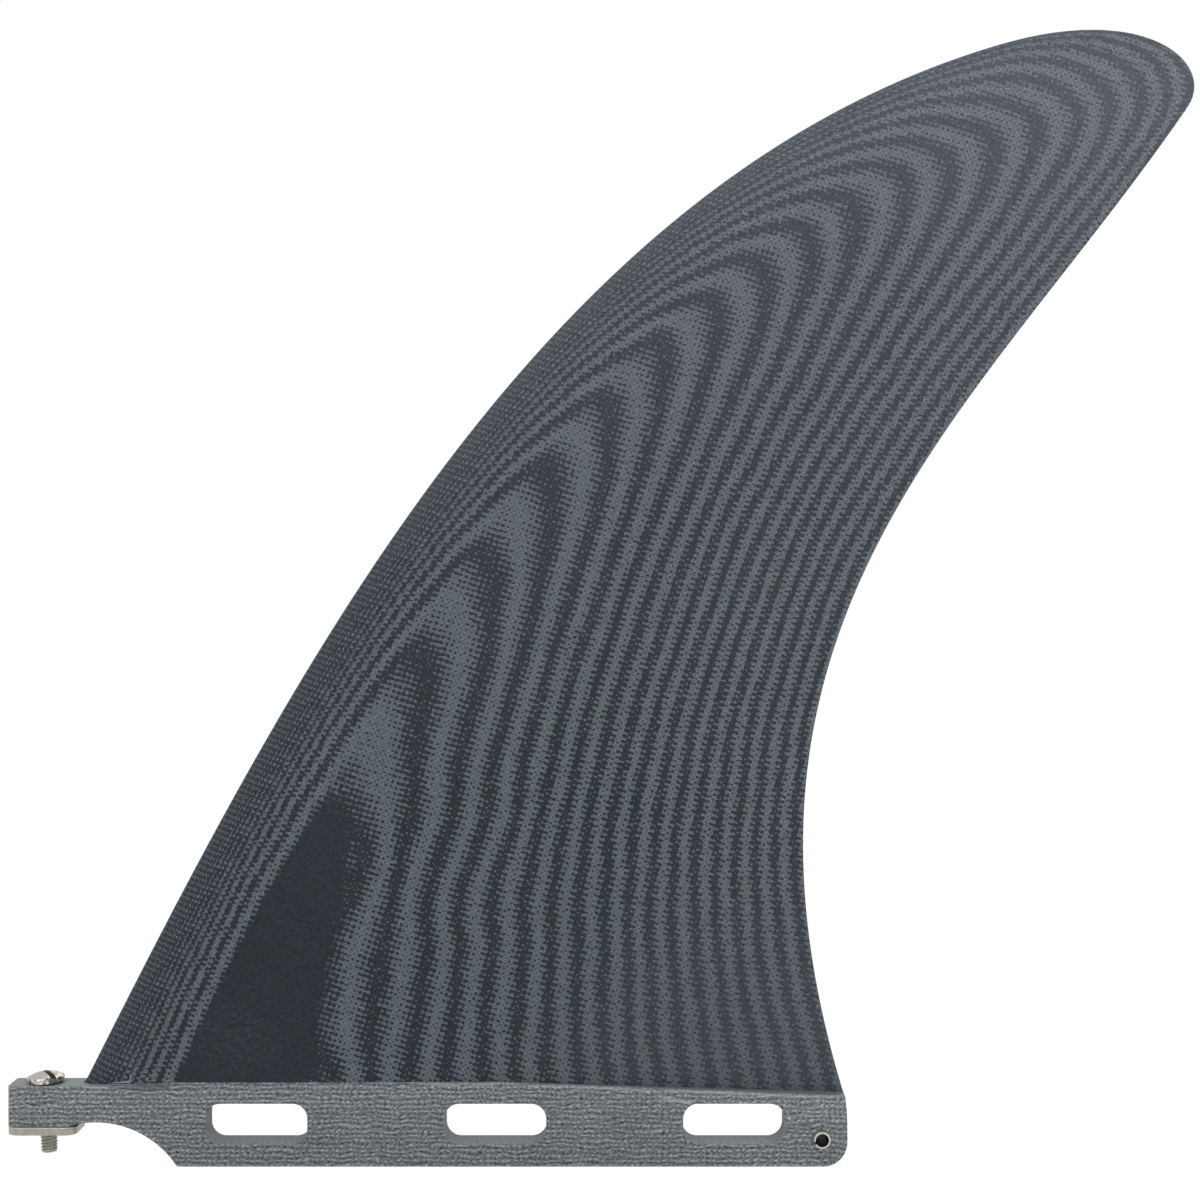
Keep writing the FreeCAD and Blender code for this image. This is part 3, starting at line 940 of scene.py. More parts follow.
@dataclass(frozen=True)
class ScrewFinish(SteelFinish):
    """Turned steel with painted shade in the driver slot, dirt and painted shade between the
    threads, and a painted reflection on the head's rim.
    """

    # Painted shade in the driver slot and the thread roots, with dirt in the roots
    shade_and_grime_colour: Colour = paint(104, 98, 91)
    lean: float = 3.0
    # Painted reflection on the head's rim: bright, streaked dark where it would mirror dark
    # things, and more shaded on the aft side
    rim_radius: float = 4.5
    rim_blend: float = 0.2
    rim_growth: float = 2.2
    rim_growth_side: Ramp = (0.2, 2.5)
    rim_colour: Colour = paint(214, 211, 204)
    shadow_colour: Colour = paint(92, 86, 80)
    streaks: Mottle = Mottle((1.1, 0.9, 1.6), 3.0, 0.65)
    streak_change: Ramp = (-0.06, 0.14)
    shaded_side: Ramp = (0.3, 2.0)
    shaded_more: float = 0.09
    # Painted shade in the driver slot, and dirt with painted shade in the thread roots
    slot_turn: float = -50.0
    slot_half: float = 0.65
    slot_blend: Ramp = (0.06, 0.02)
    slot_up: Ramp = (0.5, 0.6)
    thread_top: float = -9.0
    thread_blend: float = 0.5
    thread_root: float = 1.72
    thread_crest: float = 2.06
    root_share: float = 0.6
    shade_and_grime_share: float = 0.85

    def from_axis(self, place: Place) -> tuple[Wire, Wire]:
        """Measure from the screw's leaning axis.

        Args:
            place: The point's X, Y and Z in millimetres.

        Returns:
            How far aft of the axis the point is, and how far from it.
        """
        across, through, up = place
        out = across - self.centre[0] + up * math.tan(math.radians(self.lean))
        return out, out.span(through)

    def painted_reflection(self, sheet: NodeSheet, metal: Wire, place: Place) -> Wire:
        """Paint a reflection on the head's rim: bright, streaked dark where it would mirror dark
        things, and more shaded on the aft side.

        Args:
            sheet: The sheet that the nodes go on.
            metal: The plain metal's colour.
            place: The point's X, Y and Z in millimetres.

        Returns:
            The metal's colour.
        """
        out, radius = self.from_axis(place)
        # Painted reflection: dark streaks, more of them on the aft side, over a bright rim
        shade = sheet.noise(place, self.streaks) + out.rise(*self.shaded_side) * self.shaded_more
        rim = sheet.mix(shade.rise(*self.streak_change), self.rim_colour, self.shadow_colour)
        reach = radius + out.rise(*self.rim_growth_side) * self.rim_growth
        return sheet.mix(reach.rise(self.rim_radius - self.rim_blend, self.rim_radius),
                         metal, rim)

    def shade_and_grime(self, place: Place) -> Wire:
        """Return the painted shade in the slot, and the dirt and painted shade in the thread's
        roots.

        Args:
            place: The point's X, Y and Z in millimetres.

        Returns:
            The shade and dirt, 0 to 1.
        """
        _, through, up = place
        out, radius = self.from_axis(place)
        # Painted shade, with dirt, in the thread roots
        roots = (radius.rise(self.thread_crest, self.thread_root)
                 * up.rise(self.thread_top, self.thread_top - self.thread_blend))
        # Painted shade in the driver slot
        turn = math.radians(self.slot_turn)
        aside = abs(through * math.cos(turn) - out * math.sin(turn))
        slot = aside.rise(*(self.slot_half + blend for blend in self.slot_blend))
        shade_and_dirt = roots * self.root_share + slot * up.rise(*self.slot_up)
        return shade_and_dirt.clamped() * self.shade_and_grime_share


@dataclass(frozen=True)
class PinFinish(SteelFinish):
    """Rolled strip whose bore is painted dark inside, as shade."""

    bore: float = 1.575
    bore_blend: Ramp = (0.07, 0.02)

    def shade_and_grime(self, place: Place) -> Wire:
        """Return the painted shade inside the bore."""
        radius = (place[0] - self.centre[0]).span(place[2] - self.centre[1])
        return radius.rise(*(self.bore + blend for blend in self.bore_blend))


# Mesh helpers


def bezier(poles: Sequence[Vector], share: float) -> Vector:
    """Return the point of a Bezier curve at a share of its run.

    Args:
        poles: Two or more control points.
        share: 0 at the first pole, 1 at the last.

    Returns:
        The point.
    """
    while len(poles) > 1:
        poles = [a.lerp(b, share) for a, b in zip(poles, poles[1:])]
    return poles[0]


def as_mesh(shape: bmesh.types.BMesh, name: str) -> bpy.types.Mesh:
    """Write a bmesh to a new mesh and free it.

    Args:
        shape: The bmesh.
        name: The mesh's name.

    Returns:
        The mesh.
    """
    mesh = bpy.data.meshes.new(name)
    shape.to_mesh(mesh)
    shape.free()
    return mesh


def add_mesh(shape: bmesh.types.BMesh, mesh: bpy.types.Mesh) -> bmesh.types.BMesh:
    """Put a mesh into a shape and drop the mesh.

    Args:
        shape: The shape that grows.
        mesh: What is added, which is removed.

    Returns:
        The same shape.
    """
    shape.from_mesh(mesh)
    bpy.data.meshes.remove(mesh)
    return shape


def whole(shape: bmesh.types.BMesh) -> list:
    """Return all that a shape is made of: its vertices, edges and faces."""
    return shape.verts[:] + shape.edges[:] + shape.faces[:]


def run_along(edge: bmesh.types.BMEdge, axis: int) -> float:
    """Return how far an edge runs along an axis."""
    return abs(edge.verts[0].co[axis] - edge.verts[1].co[axis])


def carve(blank: bpy.types.Mesh, tools: Iterable[bpy.types.Mesh]) -> bpy.types.Mesh:
    """Cut tools out of a blank.

    Args:
        blank: A closed mesh.
        tools: Closed meshes to take away.

    Returns:
        The carved mesh.
    """
    work = bpy.data.objects.new("blank", blank)
    cutters = [bpy.data.objects.new("tool", tool) for tool in tools]
    for thing in (work, *cutters):
        bpy.context.scene.collection.objects.link(thing)
    for cutter in cutters:
        cut = work.modifiers.new("cut", "BOOLEAN")
        cut.operation = "DIFFERENCE"
        cut.solver = "EXACT"
        cut.object = cutter
    seen = work.evaluated_get(bpy.context.evaluated_depsgraph_get())
    carved = bpy.data.meshes.new_from_object(seen)
    for thing in (work, *cutters):
        spent = thing.data
        bpy.data.objects.remove(thing)
        bpy.data.meshes.remove(spent)
    return carved


def rod(radius: float, length: float, place: Matrix, segments: int = 96) -> bpy.types.Mesh:
    """Make a closed cylinder.

    Args:
        radius: Its radius.
        length: Its length.
        place: Where its middle goes, its axis along the place's Z.
        segments: Its sides.

    Returns:
        The cylinder.
    """
    shape = bmesh.new()
    bmesh.ops.create_cone(shape, cap_ends=True, segments=segments, radius1=radius,
                          radius2=radius, depth=length, matrix=place)
    return as_mesh(shape, "rod")


def block(size: Sequence[float], place: Matrix, corner: float = 0.0, axis: int = Z_AXIS,
          segments: int = 10) -> bpy.types.Mesh:
    """Make a box, its edges along one axis rounded.

    Args:
        size: Its three sides.
        place: Where its middle goes.
        corner: The rounding's radius.
        axis: The axis that the rounded edges run along.
        segments: Steps in each rounding.

    Returns:
        The box.
    """
    shape = bmesh.new()
    bmesh.ops.create_cube(shape, size=1.0)
    bmesh.ops.scale(shape, vec=size, verts=shape.verts)
    if corner:
        along = [e for e in shape.edges if run_along(e, axis) > size[axis] / 2]
        soften(shape, along, corner, segments)
    bmesh.ops.transform(shape, matrix=place, verts=shape.verts)
    return as_mesh(shape, "block")


def soften(shape: bmesh.types.BMesh, edges: Sequence[bmesh.types.BMEdge], width: float,
           segments: int, material: int = -1) -> None:
    """Round edges of a shape.

    Args:
        shape: The shape.
        edges: The edges to round.
        width: How far the rounding reaches from each edge.
        segments: Steps in each rounding.
        material: The new faces' material, or -1 for that of the faces beside them.
    """
    bmesh.ops.bevel(shape, geom=edges, offset=width, offset_type="OFFSET", segments=segments,
                    profile=0.5, affect="EDGES", clamp_overlap=True, material=material)


def sharpen(shape: bmesh.types.BMesh, angle: float = math.radians(32)) -> None:
    """Shade every face smooth, and keep sharp edges crisp.

    Args:
        shape: The shape.
        angle: The angle between two faces past which their edge is sharp.
    """
    for face in shape.faces:
        face.smooth = True
    for edge in shape.edges:
        edge.smooth = edge.calc_face_angle(0.0) < angle


def add_piece(name: str, shape: bmesh.types.BMesh, finishes: Sequence[bpy.types.Material],
              even_shading: bool = True) -> bpy.types.Object:
    """Turn a shape in millimetres into a piece that stands for the CAD node of its name.

    Args:
        name: The piece's and the node's name.
        shape: The finished shape, which is freed.
        finishes: Its materials, in the order of its faces' numbers.
        even_shading: Whether large faces keep flat shading beside soft edges.

    Returns:
        The piece.
    """
    bmesh.ops.scale(shape, vec=(MM, MM, MM), verts=shape.verts)
    piece = bpy.data.objects.new(f"{name}_piece", as_mesh(shape, name))
    for finish in finishes:
        piece.data.materials.append(finish)
    bpy.context.scene.collection.objects.link(piece)
    if even_shading:
        even = piece.modifiers.new("even_shading", "WEIGHTED_NORMAL")
        even.keep_sharp = True
    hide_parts(name)
    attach(piece, BODY)
    LOG.info("%s: %d faces", name, len(piece.data.polygons))
    return piece


# Pieces


# Makes the highest point of s * s * (1 - s) 1
BELLY_PEAK = 27 / 4


def hump(share: float) -> float:
    """Return a parabola that is 0 at both ends of a run and 1 at its middle."""
    return 4 * share * (1 - share)


@dataclass
class Blade:
    """The foiled blade: sections fanned between two edges from the root to a rounded tip."""

    lead: tuple[Point, ...] = ((-85.4, -0.6), (-32.1, 105.5), (30.2, 224.4), (141.5, 256.8))
    trail: tuple[Point, ...] = ((102.55, -2.7), (66.5, 115.6), (135.6, 165.5), (187.6, 241.1))
    lead_handle: float = 38.1
    trail_handle: float = 13.2
    apex_share: float = 0.78
    foot_reach: float = 0.4
    foot_height: float = 1.2
    foot_power: float = 2.2
    panel_half: float = 4.642
    root_half: float = 4.832
    taper_start: float = 2.13
    taper_end: float = 1.64
    low_hollow: float = 0.078
    high_belly: float = 0.334
    edge_half: float = 0.364
    tip_edge_half: float = 0.153
    edge_thinning: float = 3.8
    crown_at_root: float = 0.159
    crown_shift: float = 0.437
    crown_shift_power: float = 3.12
    nose_fullness: float = 0.954
    tail_handle: float = 0.360
    tail_waist: float = 0.084
    tail_growth: float = 0.239
    planing_blend: float = 0.06
    rows: int = 300
    row_crowding: float = 1.25
    columns: int = 96
    nose_columns: float = 0.45

    def __post_init__(self) -> None:
        """Work out the tip's curve and the share of the height where each edge meets it."""
        self.lead_poles = [Vector(p) for p in self.lead]
        self.trail_poles = [Vector(p) for p in self.trail]
        lead_run = self.lead_poles[3] - self.lead_poles[2]
        trail_run = self.trail_poles[3] - self.trail_poles[2]
        self.tip_poles = [
            self.lead_poles[3],
            self.lead_poles[3] + lead_run.normalized() * self.lead_handle,
            self.trail_poles[3] + trail_run.normalized() * self.trail_handle,
            self.trail_poles[3],
        ]
        self.lead_share = 1 / (1 + self.lead_handle * self.apex_share / lead_run.length)
        self.trail_share = 1 / (1 + self.trail_handle * (1 - self.apex_share)
                                / trail_run.length)

    def edge_point(self, share: float, poles: Sequence[Vector], own: float,
                   tip_start: float) -> Vector:
        """Return an edge's point at a height share.

        Args:
            share: 0 at the root, 1 at the tip.
            poles: The edge's own curve.
            own: The share at which that curve ends and the tip's begins.
            tip_start: Where along the tip's curve this edge begins.

        Returns:
            The point, as X and Z.
        """
        if share <= own:
            return bezier(poles, share / own)
        along = (share - own) / (1 - own)
        return bezier(self.tip_poles, tip_start + along * (self.apex_share - tip_start))

    def crown_half(self, share: float, edge: float) -> float:
        """Work out a section's greatest half thickness, before it is planed.

        Args:
            share: 0 at the root, 1 at the tip.
            edge: The section's half thickness at its trailing edge.

        Returns:
            The half thickness.
        """
        left = 1 - share
        fall = (1 - share ** self.taper_start) ** self.taper_end
        belly = self.high_belly * share - self.low_hollow * left
        return edge + (self.root_half - edge) * fall + BELLY_PEAK * share * left * belly

    def section(self, share: float) -> tuple[Vector, Vector, list[Vector], list[Vector]]:
        """Work out a foil section.

        Args:
            share: 0 at the root, 1 at the tip.

        Returns:
            Its nose, its chord, and the poles of its nose and tail curves, which give the half
            thickness over the share of the chord.
        """
        nose = self.edge_point(share, self.lead_poles, self.lead_share, 0.0)
        tail = self.edge_point(share, self.trail_poles, self.trail_share, 1.0)
        foot = max(0.0, 1 - max(nose.y, 0.0) / self.foot_height)
        nose.x -= self.foot_reach * foot ** self.foot_power
        crown = self.crown_at_root + self.crown_shift * share ** self.crown_shift_power
        thinned = share ** self.edge_thinning
        edge = self.edge_half + (self.tip_edge_half - self.edge_half) * thinned
        half = self.crown_half(share, edge)
        nose_curve = [Vector((0, 0)), Vector((0, self.nose_fullness * half)),
                      Vector((crown, half)), Vector((crown, half))]
        handle = (self.tail_handle - self.tail_waist * hump(share)
                  + self.tail_growth * share ** 2)
        tail_curve = [Vector((crown, half)), Vector((crown + handle * (1 - crown), half)),
                      Vector((1, edge))]
        return nose, tail - nose, nose_curve, tail_curve

    def planed(self, half: float) -> float:
        """Hold a half thickness under the panel's face, with a soft start to the flat.

        Args:
            half: The half thickness of the foil.

        Returns:
            The half thickness that is left.
        """
        blend = self.planing_blend
        over = min(max((half - self.panel_half + blend) / (2 * blend), 0.0), 1.0)
        return half + (self.panel_half - half) * over - blend * over * (1 - over)

    def skin(self) -> bmesh.types.BMesh:
        """Build the whole closed blade from one grid and its mirror image.

        Returns:
            The blade.
        """
        shape = bmesh.new()
        bmesh.ops.create_grid(shape, x_segments=self.columns, y_segments=self.rows, size=0.5)
        sections: dict[int, tuple] = {}
        for vertex in shape.verts:
            column = round((vertex.co.x + 0.5) * self.columns)
            row = round((vertex.co.y + 0.5) * self.rows)
            if row not in sections:
                sections[row] = self.section((row / self.rows) ** self.row_crowding)
            nose, chord, nose_curve, tail_curve = sections[row]
            along = min(column / (self.columns - 1), 1.0)
            if along <= self.nose_columns:
                spot = bezier(nose_curve, along / self.nose_columns)
            else:
                spot = bezier(tail_curve, (along - self.nose_columns) / (1 - self.nose_columns))
            at_middle = row == self.rows or column == self.columns
            half = 0.0 if at_middle else self.planed(spot.y)
            vertex.co = (nose.x + chord.x * spot.x, half, nose.y + chord.y * spot.x)
        bmesh.ops.remove_doubles(shape, verts=shape.verts, dist=WELD)
        bmesh.ops.mirror(shape, geom=whole(shape), matrix=Matrix.Identity(4),
                         merge_dist=WELD, axis="Y")
        root = [e for e in shape.edges if e.is_boundary]
        bmesh.ops.contextual_create(shape, geom=root)
        bmesh.ops.recalc_face_normals(shape, faces=shape.faces)
        sharpen(shape)
        return shape


# The fin's materials by number: the foiled blade is 0
MILLED, BROKEN_EDGE = 1, 2


@dataclass
class Tab:
    """The base tab: front tongue, three windows, relief arc, screw hole and pin hole."""

    length: float = 206.0
    depth: float = 19.7
    thickness: float = 9.3
    rise: float = 0.9
    rear_drop: float = 2.35
    rear_taper: float = 0.55
    rear_bow: float = 0.15
    bow_depth: float = 5.925
    flat_start: float = 41.0
    flat_end: float = 121.0
    rear_corner: float = 6.0
    rear_corner_steps: int = 14
    tongue_height: float = 9.8
    tongue_length: float = 21.0
    tongue_corner: float = 0.8
    tongue_corner_steps: int = 4
    relief_radius: float = 24.0
    relief_sides: int = 192
    relief_depth: float = 0.92
    relief_from_front: float = 21.5
    relief_corner_cut: float = 1.1
    relief_corner_steps: int = 6
    windows: int = 3
    window_size: Point = (25.0, 10.0)
    window_corner: float = 3.7
    window_depth: float = 9.3
    first_window: float = 61.0
    last_window: float = 27.8
    screw_hole: float = 5.67
    screw_from_front: float = 8.5
    pin_hole: float = 4.15
    pin_from_rear: float = 6.5
    pin_depth: float = 12.5
    edge_break: float = 0.26
    edge_break_steps: int = 2
    sharp_from: float = math.radians(50)

    @property
    def front(self) -> float:
        """X of the tongue's end."""
        return -self.length / 2

    @property
    def rear(self) -> float:
        """X of the rear end."""
        return self.length / 2

    def slab(self) -> bpy.types.Mesh:
        """Make the outline at full thickness, its rear corner and tongue end rounded.

        Returns:
            The slab.
        """
        heel = self.front + self.relief_from_front
        outline = (
            (self.front, 0.0),
            (self.front + self.tongue_length, 0.0),
            (self.front + self.flat_start, self.rise),
            (self.front + self.flat_end, self.rise),
            (self.rear - self.rear_taper, -self.rear_drop),
            (self.rear - self.rear_bow, -self.bow_depth),
            (self.rear, -self.depth / 2),
            (self.rear, -self.depth),
            (heel, -self.depth),
            (heel, -self.tongue_height),
            (self.front, -self.tongue_height),
        )
        shape = bmesh.new()
        near = [shape.verts.new((x, -self.thickness / 2, z)) for x, z in outline]
        face = bmesh.ops.contextual_create(shape, geom=near)["faces"][0]
        grown = bmesh.ops.extrude_face_region(shape, geom=[face])["geom"]
        far = [v for v in grown if isinstance(v, bmesh.types.BMVert)]
        bmesh.ops.translate(shape, vec=(0, self.thickness, 0), verts=far)
        bmesh.ops.recalc_face_normals(shape, faces=shape.faces)
        corner = [e for e in self.low_edges(shape) if e.verts[0].co.x > self.rear - LEVEL]
        soften(shape, corner, self.rear_corner, self.rear_corner_steps)
        end = [e for e in shape.edges if max(v.co.x for v in e.verts) < self.front + LEVEL
               and run_along(e, Z_AXIS) > self.tongue_height / 2]
        soften(shape, end, self.tongue_corner, self.tongue_corner_steps)
        return as_mesh(shape, "slab")

    def low_edges(self, shape: bmesh.types.BMesh) -> list[bmesh.types.BMEdge]:
        """Return the edges that run through the tab's thickness along its foot."""
        return [e for e in shape.edges if run_along(e, Y_AXIS) > self.thickness / 2
                and e.verts[0].co.z < -self.depth + LEVEL]

    def cutters(self) -> list[bpy.types.Mesh]:
        """Make what is cut out of the slab.

        Returns:
            The relief's arc, the three windows, the screw's hole and the pin's hole.
        """
        through = self.thickness * 2
        sideways = Matrix.Rotation(math.pi / 2, 4, "X")
        heel = self.front + self.relief_from_front
        relief_middle = -self.tongue_height + self.relief_depth - self.relief_radius
        tools = [rod(self.relief_radius, through,
                     Matrix.Translation((heel, 0, relief_middle)) @ sideways,
                     self.relief_sides)]
        first = self.front + self.first_window
        spacing = (self.rear - self.last_window - first) / (self.windows - 1)
        for number in range(self.windows):
            middle = Matrix.Translation((first + number * spacing, 0, -self.window_depth))
            size = (self.window_size[0], through, self.window_size[1])
            tools.append(block(size, middle, self.window_corner, axis=Y_AXIS))
        tools.append(rod(self.screw_hole / 2, self.depth * 2,
                         Matrix.Translation((self.front + self.screw_from_front, 0, 0))))
        tools.append(rod(self.pin_hole / 2, through,
                         Matrix.Translation((self.rear - self.pin_from_rear, 0,
                                             -self.pin_depth)) @ sideways))
        return tools

    def solid(self) -> bmesh.types.BMesh:
        """Carve the slab, round the relief's corner and break every sharp edge.

        Returns:
            The tab, its faces and its broken edges numbered for their materials.
        """
        shape = add_mesh(bmesh.new(), carve(self.slab(), self.cutters()))
        relief_end = self.front + self.relief_from_front
        corner = [e for e in self.low_edges(shape) if relief_end < e.verts[0].co.x < 0]
        soften(shape, corner, self.relief_corner_cut, self.relief_corner_steps)
        sharp = [e for e in shape.edges if e.calc_face_angle(0.0) > self.sharp_from]
        for face in shape.faces:
            face.material_index = MILLED
        soften(shape, sharp, self.edge_break, self.edge_break_steps, BROKEN_EDGE)
        return shape


@dataclass
class Screw:
    """The slotted machine screw, which leans a little in its hole."""

    diameter: float = 4.17
    length: float = 17.3
    tip_bevel: float = 0.35
    pitch: float = 0.794
    thread_depth: float = 0.30
    thread_profile: tuple[Point, ...] = ((0.0, 0.0), (0.0, 0.14), (1.0, 0.44), (1.0, 0.56),
                                         (0.0, 0.86), (0.0, 1.0))
    thread_start: float = 10.3
    thread_overlap: float = 0.2
    spare_turns: int = 3
    lean: float = 3.0
    head_diameter: float = 9.1
    rim: float = 1.3
    dome: float = 1.25
    rim_round: float = 0.14
    rim_steps: int = 3
    slot_width: float = 1.3
    slot_depth: float = 1.5
    slot_overshoot: float = 1.0
    slot_turn: float = -50.0
    turn_steps: int = 48
    dome_steps: int = 10

    def seat(self, tab: Tab) -> Matrix:
        """Work out where the screw stands: its head's lower rim rests on the tongue.

        Args:
            tab: The tab that it goes through.

        Returns:
            The place of the head's underside.
        """
        lean = math.radians(self.lean)
        lift = self.head_diameter / 2 * math.sin(lean)
        shift = tab.tongue_height / 2 * math.tan(lean)
        spot = (tab.front + tab.screw_from_front - shift, 0, lift)
        return Matrix.Translation(spot) @ Matrix.Rotation(-lean, 4, "Y")

    def head(self) -> bpy.types.Mesh:
        """Turn the domed head and its plain shank, then cut the driver slot.

        Returns:
            The head and the shank, upright.
        """
        reach = self.head_diameter / 2
        ball = (reach ** 2 + self.dome ** 2) / (2 * self.dome)
        sweep = math.asin(reach / ball)
        top = self.rim + self.dome
        outline = [(ball * math.sin(sweep * i / self.dome_steps),
                    top - ball * (1 - math.cos(sweep * i / self.dome_steps)))
                   for i in range(self.dome_steps + 1)]
        shank = self.diameter / 2
        outline += [(reach, 0.0), (shank, 0.0), (shank, -self.thread_start),
                    (0.0, -self.thread_start)]
        shape = bmesh.new()
        line = [shape.verts.new((r, 0, z)) for r, z in outline]
        edges = [shape.edges.new(pair) for pair in zip(line, line[1:])]
        bmesh.ops.spin(shape, geom=line + edges, cent=(0, 0, 0), axis=(0, 0, 1),
                       angle=math.tau, steps=2 * self.turn_steps, use_merge=True,
                       use_duplicate=False)
        bmesh.ops.remove_doubles(shape, verts=shape.verts, dist=SEAM)
        bmesh.ops.recalc_face_normals(shape, faces=shape.faces)
        rims = [e for e in shape.edges if run_along(e, Z_AXIS) < LEVEL
                and all(abs(v.co.xy.length - reach) < LEVEL for v in e.verts)]
        soften(shape, rims, self.rim_round, self.rim_steps)
        depth = self.slot_depth + self.slot_overshoot
        place = (Matrix.Rotation(math.radians(self.slot_turn), 4, "Z")
                 @ Matrix.Translation((0, 0, top - self.slot_depth + depth / 2)))
        slot = block((2 * self.head_diameter, self.slot_width, depth), place)
        return carve(as_mesh(shape, "head"), [slot])

    def thread(self) -> bmesh.types.BMesh:
        """Sweep one thread's outline up a helix, then trim it and bevel its tip.

        Returns:
            The threaded end, upright.
        """
        crest = self.diameter / 2
        root = crest - self.thread_depth
        bottom = -self.length - self.spare_turns / 2 * self.pitch
        run = self.length - self.thread_start
        turns = math.ceil(run / self.pitch) + self.spare_turns
        shape = bmesh.new()
        line = [shape.verts.new((root + out * self.thread_depth, 0, bottom + up * self.pitch))
                for out, up in self.thread_profile]
        edges = [shape.edges.new(pair) for pair in zip(line, line[1:])]
        bmesh.ops.spin(shape, geom=line + edges, cent=(0, 0, 0), axis=(0, 0, 1),
                       dvec=(0, 0, self.pitch / self.turn_steps), angle=math.tau * turns,
                       steps=self.turn_steps * turns, use_merge=False, use_duplicate=False)
        bmesh.ops.remove_doubles(shape, verts=shape.verts, dist=LEVEL)
        self.trim(shape, -self.length, -1)
        self.trim(shape, -self.thread_start + self.thread_overlap, 1)
        for vertex in shape.verts:
            room = crest - self.tip_bevel + (vertex.co.z + self.length)
            radius = vertex.co.xy.length
            if radius > room:
                vertex.co.xy *= room / radius
        bmesh.ops.recalc_face_normals(shape, faces=shape.faces)
        return shape

    def trim(self, shape: bmesh.types.BMesh, level: float, side: int) -> None:
        """Cut the thread off square and cap it.

        Args:
            shape: The thread.
            level: The height of the cut.
            side: 1 to cut away what is above it, -1 for what is below.
        """
        bmesh.ops.bisect_plane(shape, geom=whole(shape), plane_co=(0, 0, level),
                               plane_no=(0, 0, side), clear_outer=True)
        rim = [e for e in shape.edges if e.is_boundary
               and all(abs(v.co.z - level) < LEVEL for v in e.verts)]
        bmesh.ops.contextual_create(shape, geom=rim)

    def build(self, tab: Tab, finish: bpy.types.Material) -> bpy.types.Object:
        """Join the head and the thread, and seat the screw in the tongue.

        Args:
            tab: The tab that it goes through.
            finish: Its material.

        Returns:
            The screw.
        """
        shape = add_mesh(self.thread(), self.head())
        bmesh.ops.transform(shape, matrix=self.seat(tab), verts=shape.verts)
        sharpen(shape)
        return add_piece("screw", shape, [finish])


@dataclass
class NutPlate:
    """The rounded plate under the tongue that the screw threads into."""

    length: float = 17.0
    width: float = 12.4
    thickness: float = 2.0
    corner: float = 2.8
    edge: float = 0.32
    edge_steps: int = 3

    def build(self, tab: Tab, screw: Screw, finish: bpy.types.Material) -> bpy.types.Object:
        """Round a block, bore it for the screw and set it against the tongue.

        Args:
            tab: The tab that it hangs under.
            screw: The screw that it threads onto.
            finish: Its material.

        Returns:
            The plate.
        """
        middle = Matrix.Translation((tab.front + self.length / 2, 0,
                                     -tab.tongue_height - self.thickness / 2))
        blank = block((self.length, self.width, self.thickness), middle, self.corner)
        bore = rod(screw.diameter / 2, 4 * self.thickness,
                   screw.seat(tab) @ Matrix.Translation((0, 0, -tab.tongue_height)))
        shape = add_mesh(bmesh.new(), blank)
        rims = [e for e in shape.edges if run_along(e, Z_AXIS) < LEVEL]
        soften(shape, rims, self.edge, self.edge_steps)
        shape = add_mesh(bmesh.new(), carve(as_mesh(shape, "plate"), [bore]))
        sharpen(shape)
        return add_piece("nut_plate", shape, [finish])


@dataclass
class SpringPin:
    """The rolled spring pin through the rear of the tab, open along one side."""

    diameter: float = 4.15
    wall: float = 0.5
    length: float = 15.9
    slit: float = 0.75
    slit_turn: float = 202.0
    bevel: float = 0.22
    bevel_steps: int = 3
    steps: int = 72

    def build(self, tab: Tab, finish: bpy.types.Material) -> bpy.types.Object:
        """Roll the strip's outline around the pin's axis, leaving the slit.

        Args:
            tab: The tab that it goes through.
            finish: Its material.

        Returns:
            The pin.
        """
        outer = self.diameter / 2
        inner = outer - self.wall
        half = self.length / 2
        corners = ((inner, -half), (outer, -half), (outer, half), (inner, half))
        shape = bmesh.new()
        strip = [shape.verts.new((r, y, 0)) for r, y in corners]
        bmesh.ops.contextual_create(shape, geom=strip)
        bmesh.ops.bevel(shape, geom=[v for v in strip if v.co.x > inner + LEVEL],
                        offset=self.bevel, segments=self.bevel_steps, profile=0.5,
                        affect="VERTICES", material=-1)
        gap = 2 * math.asin(self.slit / (outer + inner))
        start = math.radians(self.slit_turn) + gap / 2
        bmesh.ops.rotate(shape, cent=(0, 0, 0), matrix=Matrix.Rotation(-start, 3, "Y"),
                         verts=shape.verts)
        bmesh.ops.spin(shape, geom=whole(shape), cent=(0, 0, 0), axis=(0, -1, 0),
                       angle=math.tau - gap, steps=self.steps, use_merge=False,
                       use_duplicate=False)
        bmesh.ops.recalc_face_normals(shape, faces=shape.faces)
        bmesh.ops.translate(shape, vec=(tab.rear - tab.pin_from_rear, 0, -tab.pin_depth),
                            verts=shape.verts)
        sharpen(shape)
        return add_piece("roll_pin", shape, [finish])


def build_fin(blade: Blade, tab: Tab) -> bpy.types.Object:
    """Join the blade and the tab in one laminated piece.

    Args:
        blade: The foiled blade.
        tab: The base tab.

    Returns:
        The fin.
    """
    shape = add_mesh(blade.skin(), as_mesh(tab.solid(), "tab"))
    finishes = [BladeFinish().make(), TabFinish().make(), EdgeFinish().make()]
    return add_piece("fin", shape, finishes, even_shading=False)


# Studio


WHITE = (1.0, 1.0, 1.0, 1.0)


@dataclass(frozen=True)
class Lamp:
    """A soft square lamp: its place and side in metres, and its power in watts."""

    name: str
    place: tuple[float, float, float]
    side: float
    power: float


